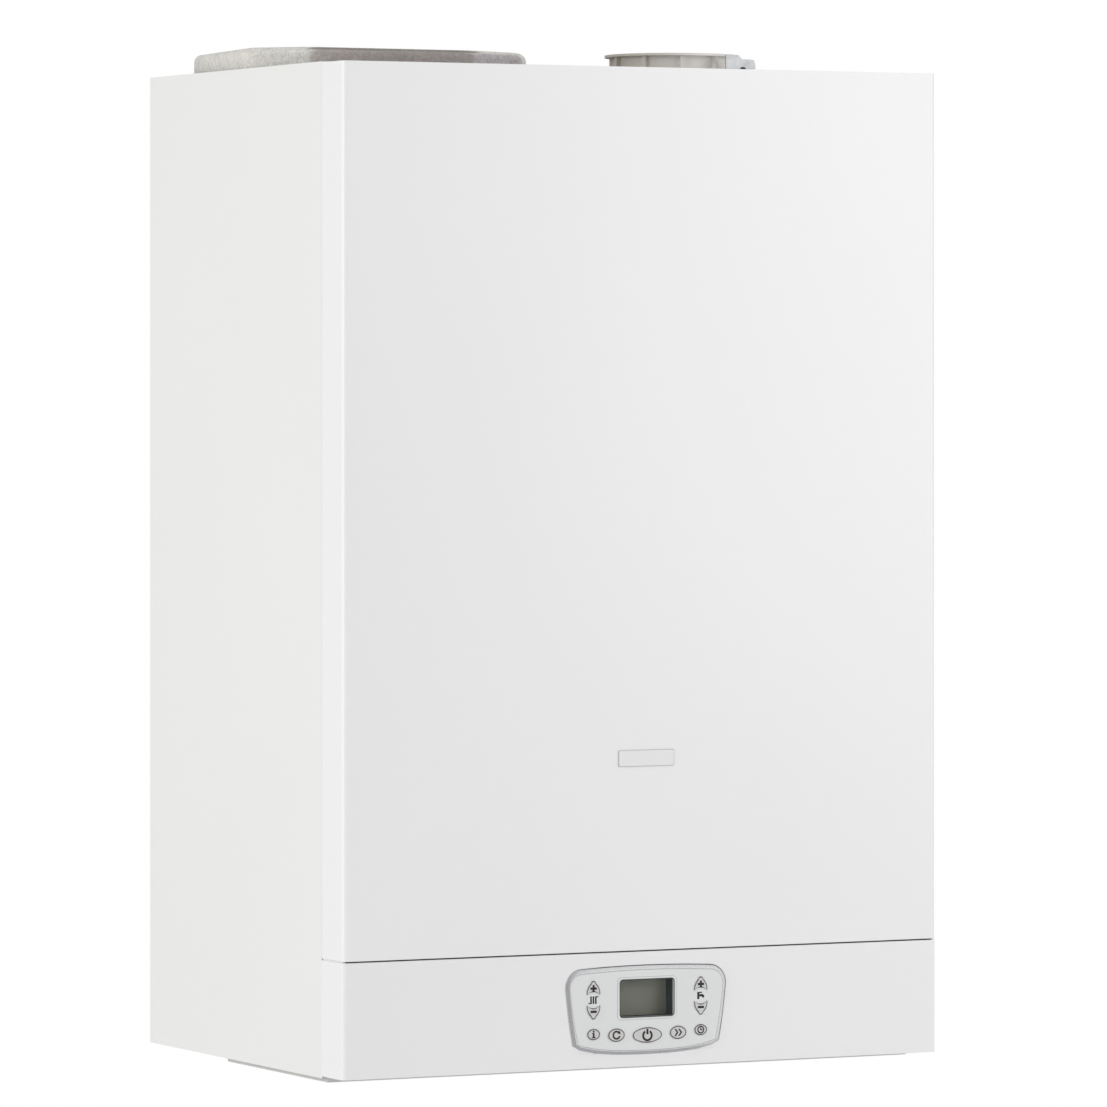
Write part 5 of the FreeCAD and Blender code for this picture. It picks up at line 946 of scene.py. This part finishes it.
# %% Spread copies
def spread(name, template, points, size, material, body):
    """Copies of a template at (place, facing) pairs, with places in millimetres."""
    mesh = bpy.data.meshes.new(name + "_points")
    mesh.from_pydata([[part * MM for part in place] for place, _ in points], [], [])
    facing = mesh.attributes.new("facing", "FLOAT_VECTOR", "POINT")
    facing.data.foreach_set("vector", [part for _, way in points for part in way])
    carrier = bpy.data.objects.new(name + "_carrier", mesh)
    bpy.context.scene.collection.objects.link(carrier)
    modifier = carrier.modifiers.new("copies", "NODES")
    modifier.node_group = tree
    for label, value in (("Copy", template), ("Size", size), ("Finish", material)):
        modifier[tree_inputs[label]] = value
    graph = bpy.context.evaluated_depsgraph_get()
    made = bpy.data.meshes.new_from_object(carrier.evaluated_get(graph))
    made.name = name
    bpy.data.objects.remove(carrier)
    placed(name, made, body)
    print(name, len(points), "copies,", len(made.polygons), "faces")


# %% [markdown]
# Three templates are copied: a screw and a nut, which are turned from a profile of (radius, height)
# points, and a louvre, which is a low half-round bar with sloping ends.

# %% Screw, nut and louvre templates
SCREW_PROFILE = ((3.4, -0.4), (3.4, 0.5), (2.9, 1.4), (1.9, 1.9), (1.35, 1.95), (1.1, 0.7))
NUT_PROFILE = ((4.6, -0.4), (4.6, 3.2), (4.0, 3.8), (2.4, 3.8), (2.4, 5.4), (2.0, 5.8))
LOUVRE_LENGTH, LOUVRE_WIDTH, LOUVRE_RISE, LOUVRE_STEPS = 30 * MM, 4 * MM, 1.4 * MM, 8
LOUVRE_ENDS = ((-1, 0.35), (-0.92, 1), (0.92, 1), (1, 0.35))


def template_from(name, bm):
    template = bpy.data.objects.new(name, mesh_of(name, bm))
    bpy.context.scene.collection.objects.link(template)
    return template


def skinned(name, rows):
    """A template whose skin runs over closed rows of points, with a flat face at both ends."""
    bm = bmesh.new()
    rings = [[bm.verts.new(point) for point in row] for row in rows]
    for this, following in zip(rings, rings[1:]):
        for index in range(len(this)):
            after = (index + 1) % len(this)
            bm.faces.new((this[index], this[after], following[after], following[index]))
    bm.faces.new(rings[0][::-1])
    bm.faces.new(rings[-1])
    return template_from(name, bm)


def turned(name, profile, sides):
    turns = [math.tau * index / sides for index in range(sides)]
    rows = [[(r * MM * math.cos(a), r * MM * math.sin(a), h * MM) for a in turns] for r, h in profile]
    return skinned(name, rows)


def louvre_rows():
    turns = [math.pi * index / LOUVRE_STEPS for index in range(LOUVRE_STEPS + 1)]
    rows = []
    for along, share in LOUVRE_ENDS:
        arch = [(LOUVRE_WIDTH / 2 * math.cos(a), LOUVRE_RISE * share * math.sin(a) - INK) for a in turns]
        rows.append([(along * LOUVRE_LENGTH / 2, y, z) for y, z in arch])
    return rows


screw = turned("screw", SCREW_PROFILE, 12)
nut = turned("nut", NUT_PROFILE, 6)
louvre = skinned("louvre", louvre_rows())
steel = finishes["spring_steel"].material
UP, DOWN, FORWARD = (0, 0, 1), (0, 0, -1), (0, -1, 0)
print("templates:", screw.name, nut.name, louvre.name)

# %% [markdown]
# The top panel is screwed down along its front and its sides, except where the foam block covers its left
# side, and the bracket of the pipe ends is screwed from below. Places are in millimetres.

# %% Screws on the casing
SIDE_X, FRONT_Y, BRACKET_Y, BRACKET_RISE = 286, -368, -45, 37
top_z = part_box("top_panel")[1].z / MM
top_places = [(x, y) for x in (-SIDE_X, SIDE_X) for y in (-355, -290)]
top_places += [(x, FRONT_Y) for x in (-180, 0, 180)]
top_places += [(SIDE_X, y) for y in (-200, -60)]
top_points = [((x, y, top_z), UP) for x, y in top_places]
spread("top_screws", screw, top_points, 1.0, steel, "casing")
under_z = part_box("connection_nipples")[0].z / MM + BRACKET_RISE
under_points = [((x, BRACKET_Y, under_z), DOWN) for x in (-200, -100, 0, 100, 200)]
spread("bracket_screws", screw, under_points, 1.0, steel, "casing")

# %% [markdown]
# A dark screw sits over the middle hole of the flue plate. Its upper part shows above the cover.

# %% Screw in the flue plate
HOLE_SHARE, SCREW_DROP, PLATE_FRONT = 0.575, 14.4, -273
plate_low, plate_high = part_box("flue_bracket")
hole_x = (plate_low.x + (plate_high.x - plate_low.x) * HOLE_SHARE) / MM
plate_points = [((hole_x, PLATE_FRONT, plate_high.z / MM - SCREW_DROP), FORWARD)]
black = finishes["black_plastic"].material
spread("plate_screw", screw, plate_points, 1.0, black, "casing")

# %% [markdown]
# Nuts hold the burner door and screws hold the fan's cover. Both stand on circles round an axis that
# points forward, so one function gives their places.

# %% Nuts on the burner door and screws on the fan
BOSS_LENGTH, BOSS_SHARE, FAN_CIRCLE = 17, 0.9, 45


def circle_points(middle, radius, depth, count, first):
    """Points on a circle that face forward, from a first angle in degrees."""
    points = []
    for turn in range(count):
        angle = math.radians(first + 360 / count * turn)
        place = (middle[0] + radius * math.cos(angle), depth, middle[1] + radius * math.sin(angle))
        points.append((place, FORWARD))
    return points


door_low, door_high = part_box("burner_door")
boss_circle = BOSS_SHARE * (door_high.x - door_low.x) / 2 / MM
boss_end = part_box("burner_tube")[0].y / MM - BOSS_LENGTH
door_points = circle_points(centre_of("burner_tube"), boss_circle, boss_end, 6, 30)
spread("door_nuts", nut, door_points, 1.0, steel, "casing")
fan_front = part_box("fan_housing")[0].y / MM
fan_points = circle_points(centre_of("fan_motor"), FAN_CIRCLE, fan_front, 4, 45)
spread("fan_screws", screw, fan_points, 1.0, steel, "casing")

# %% [markdown]
# The lid of the electrics has screws along two edges and four columns of louvres. It rides on the control
# panel, so these move when the panel tilts down. The templates are not needed any more after this.

# %% Screws and vents on the lid of the electrics
LID_EDGE, VENT_FIRST, VENT_PITCH, VENT_ROWS = 12, -340, 9, 14
lid_low, lid_high = (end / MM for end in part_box("electrics_lid"))
lid_rows = (lid_low.y + LID_EDGE, lid_high.y - LID_EDGE)
lid_points = [((x, y, lid_high.z), UP) for x in (-280, -95, 95, 280) for y in lid_rows]
spread("lid_screws", screw, lid_points, 1.0, steel, "control_panel")
vent_rows = [VENT_FIRST + VENT_PITCH * row for row in range(VENT_ROWS)]
vent_points = [((x, y, lid_high.z), UP) for x in (-205, -165, 165, 205) for y in vent_rows]
spread("lid_vents", louvre, vent_points, 1.0, finishes["tray_grey"].material, "control_panel")
for template in (screw, nut, louvre):
    bpy.data.objects.remove(template)

# %% [markdown]
# ## Room
#
# The boiler hangs in a white room. The floor lies below it and, like the backdrop, is white to the
# camera.

# %% Floor
FLOOR, FLOOR_REACH = -1.45, 16.0
bm = bmesh.new()
bmesh.ops.create_grid(bm, x_segments=2, y_segments=2, size=FLOOR_REACH)
bmesh.ops.translate(bm, verts=bm.verts, vec=(0, 0, FLOOR))
mesh = bpy.data.meshes.new("studio_floor")
bm.to_mesh(mesh)
bm.free()
floor = bpy.data.objects.new("studio_floor", mesh)
bpy.context.scene.collection.objects.link(floor)
pale = bpy.data.materials.new("pale_floor")
pale.use_nodes = True
links, add = pale.node_tree.links, pale.node_tree.nodes.new
matt = pale.node_tree.nodes["Principled BSDF"]
matt.inputs["Base Color"].default_value = (0.9, 0.9, 0.9, 1)
matt.inputs["Roughness"].default_value = 0.9
rays, white, blend = add("ShaderNodeLightPath"), add("ShaderNodeEmission"), add("ShaderNodeMixShader")
links.new(rays.outputs["Is Camera Ray"], blend.inputs[0])
links.new(matt.outputs[0], blend.inputs[1])
links.new(white.outputs[0], blend.inputs[2])
links.new(blend.outputs[0], pale.node_tree.nodes["Material Output"].inputs["Surface"])
mesh.materials.append(pale)
print("floor at", FLOOR, "m")

# %% [markdown]
# The surround lights the boiler evenly. To the camera, and through the clear window, it is pure white.

# %% Surround
SURROUND = 0.53
world = bpy.data.worlds.new("studio")
bpy.context.scene.world = world
world.use_nodes = True
links, add = world.node_tree.links, world.node_tree.nodes.new
rays, seen, span = add("ShaderNodeLightPath"), add("ShaderNodeMath"), add("ShaderNodeMapRange")
seen.operation = "MAXIMUM"
links.new(rays.outputs["Is Camera Ray"], seen.inputs[0])
links.new(rays.outputs["Is Transmission Ray"], seen.inputs[1])
links.new(seen.outputs[0], span.inputs["Value"])
span.inputs["To Min"].default_value = SURROUND
span.inputs["To Max"].default_value = 1.0
backdrop = world.node_tree.nodes["Background"]
backdrop.inputs["Color"].default_value = (1, 1, 1, 1)
links.new(span.outputs[0], backdrop.inputs["Strength"])
print("surround of strength", SURROUND)

# %% [markdown]
# ## Light
#
# Three large soft lamps add shape to the even light. The left one is the strongest and lights the side
# panel, the right one brightens the cover towards that side, and a weak one hangs above.

# %% Lamps
MIDDLE = Vector((0.0, -0.25, -0.4))
LAMPS = (
    ("soft_left", (-3.6, -0.5, 0.1), (2.4, 2.4), 54.0),
    ("soft_right", (2.0, -2.6, 0.3), (1.8, 1.8), 32.0),
    ("soft_top", (0.2, -1.2, 2.6), (2.6, 2.0), 14.0),
)
for name, place, size, power in LAMPS:
    data = bpy.data.lights.new(name, "AREA")
    data.shape = "RECTANGLE"
    data.size, data.size_y = size
    data.energy = power
    lamp = bpy.data.objects.new(name, data)
    bpy.context.scene.collection.objects.link(lamp)
    lamp.location = place
    lamp.rotation_euler = (MIDDLE - Vector(place)).to_track_quat("-Z", "Y").to_euler()
print("lamps:", len(LAMPS))

# %% [markdown]
# ## Camera
#
# The camera was found by fitting the casing's straight edges: it stands almost seven metres off, level, a
# little to the left, with a long lens, and the picture is shifted down instead of tilting the camera,
# which keeps the upright edges parallel.

# %% Camera
lens = bpy.data.cameras.new("camera")
lens.sensor_width = 36.0
lens.lens = 230.0
lens.shift_y = -0.1562
lens.clip_end = 200.0
camera = bpy.data.objects.new("camera", lens)
bpy.context.scene.collection.objects.link(camera)
camera.location = (-2.9220, -6.0853, -0.2332)
camera.rotation_euler = (math.radians(90), 0, math.radians(-26.576))
bpy.context.scene.camera = camera
bpy.context.scene.view_settings.view_transform = "Standard"
print("camera with a lens of", lens.lens, "mm")
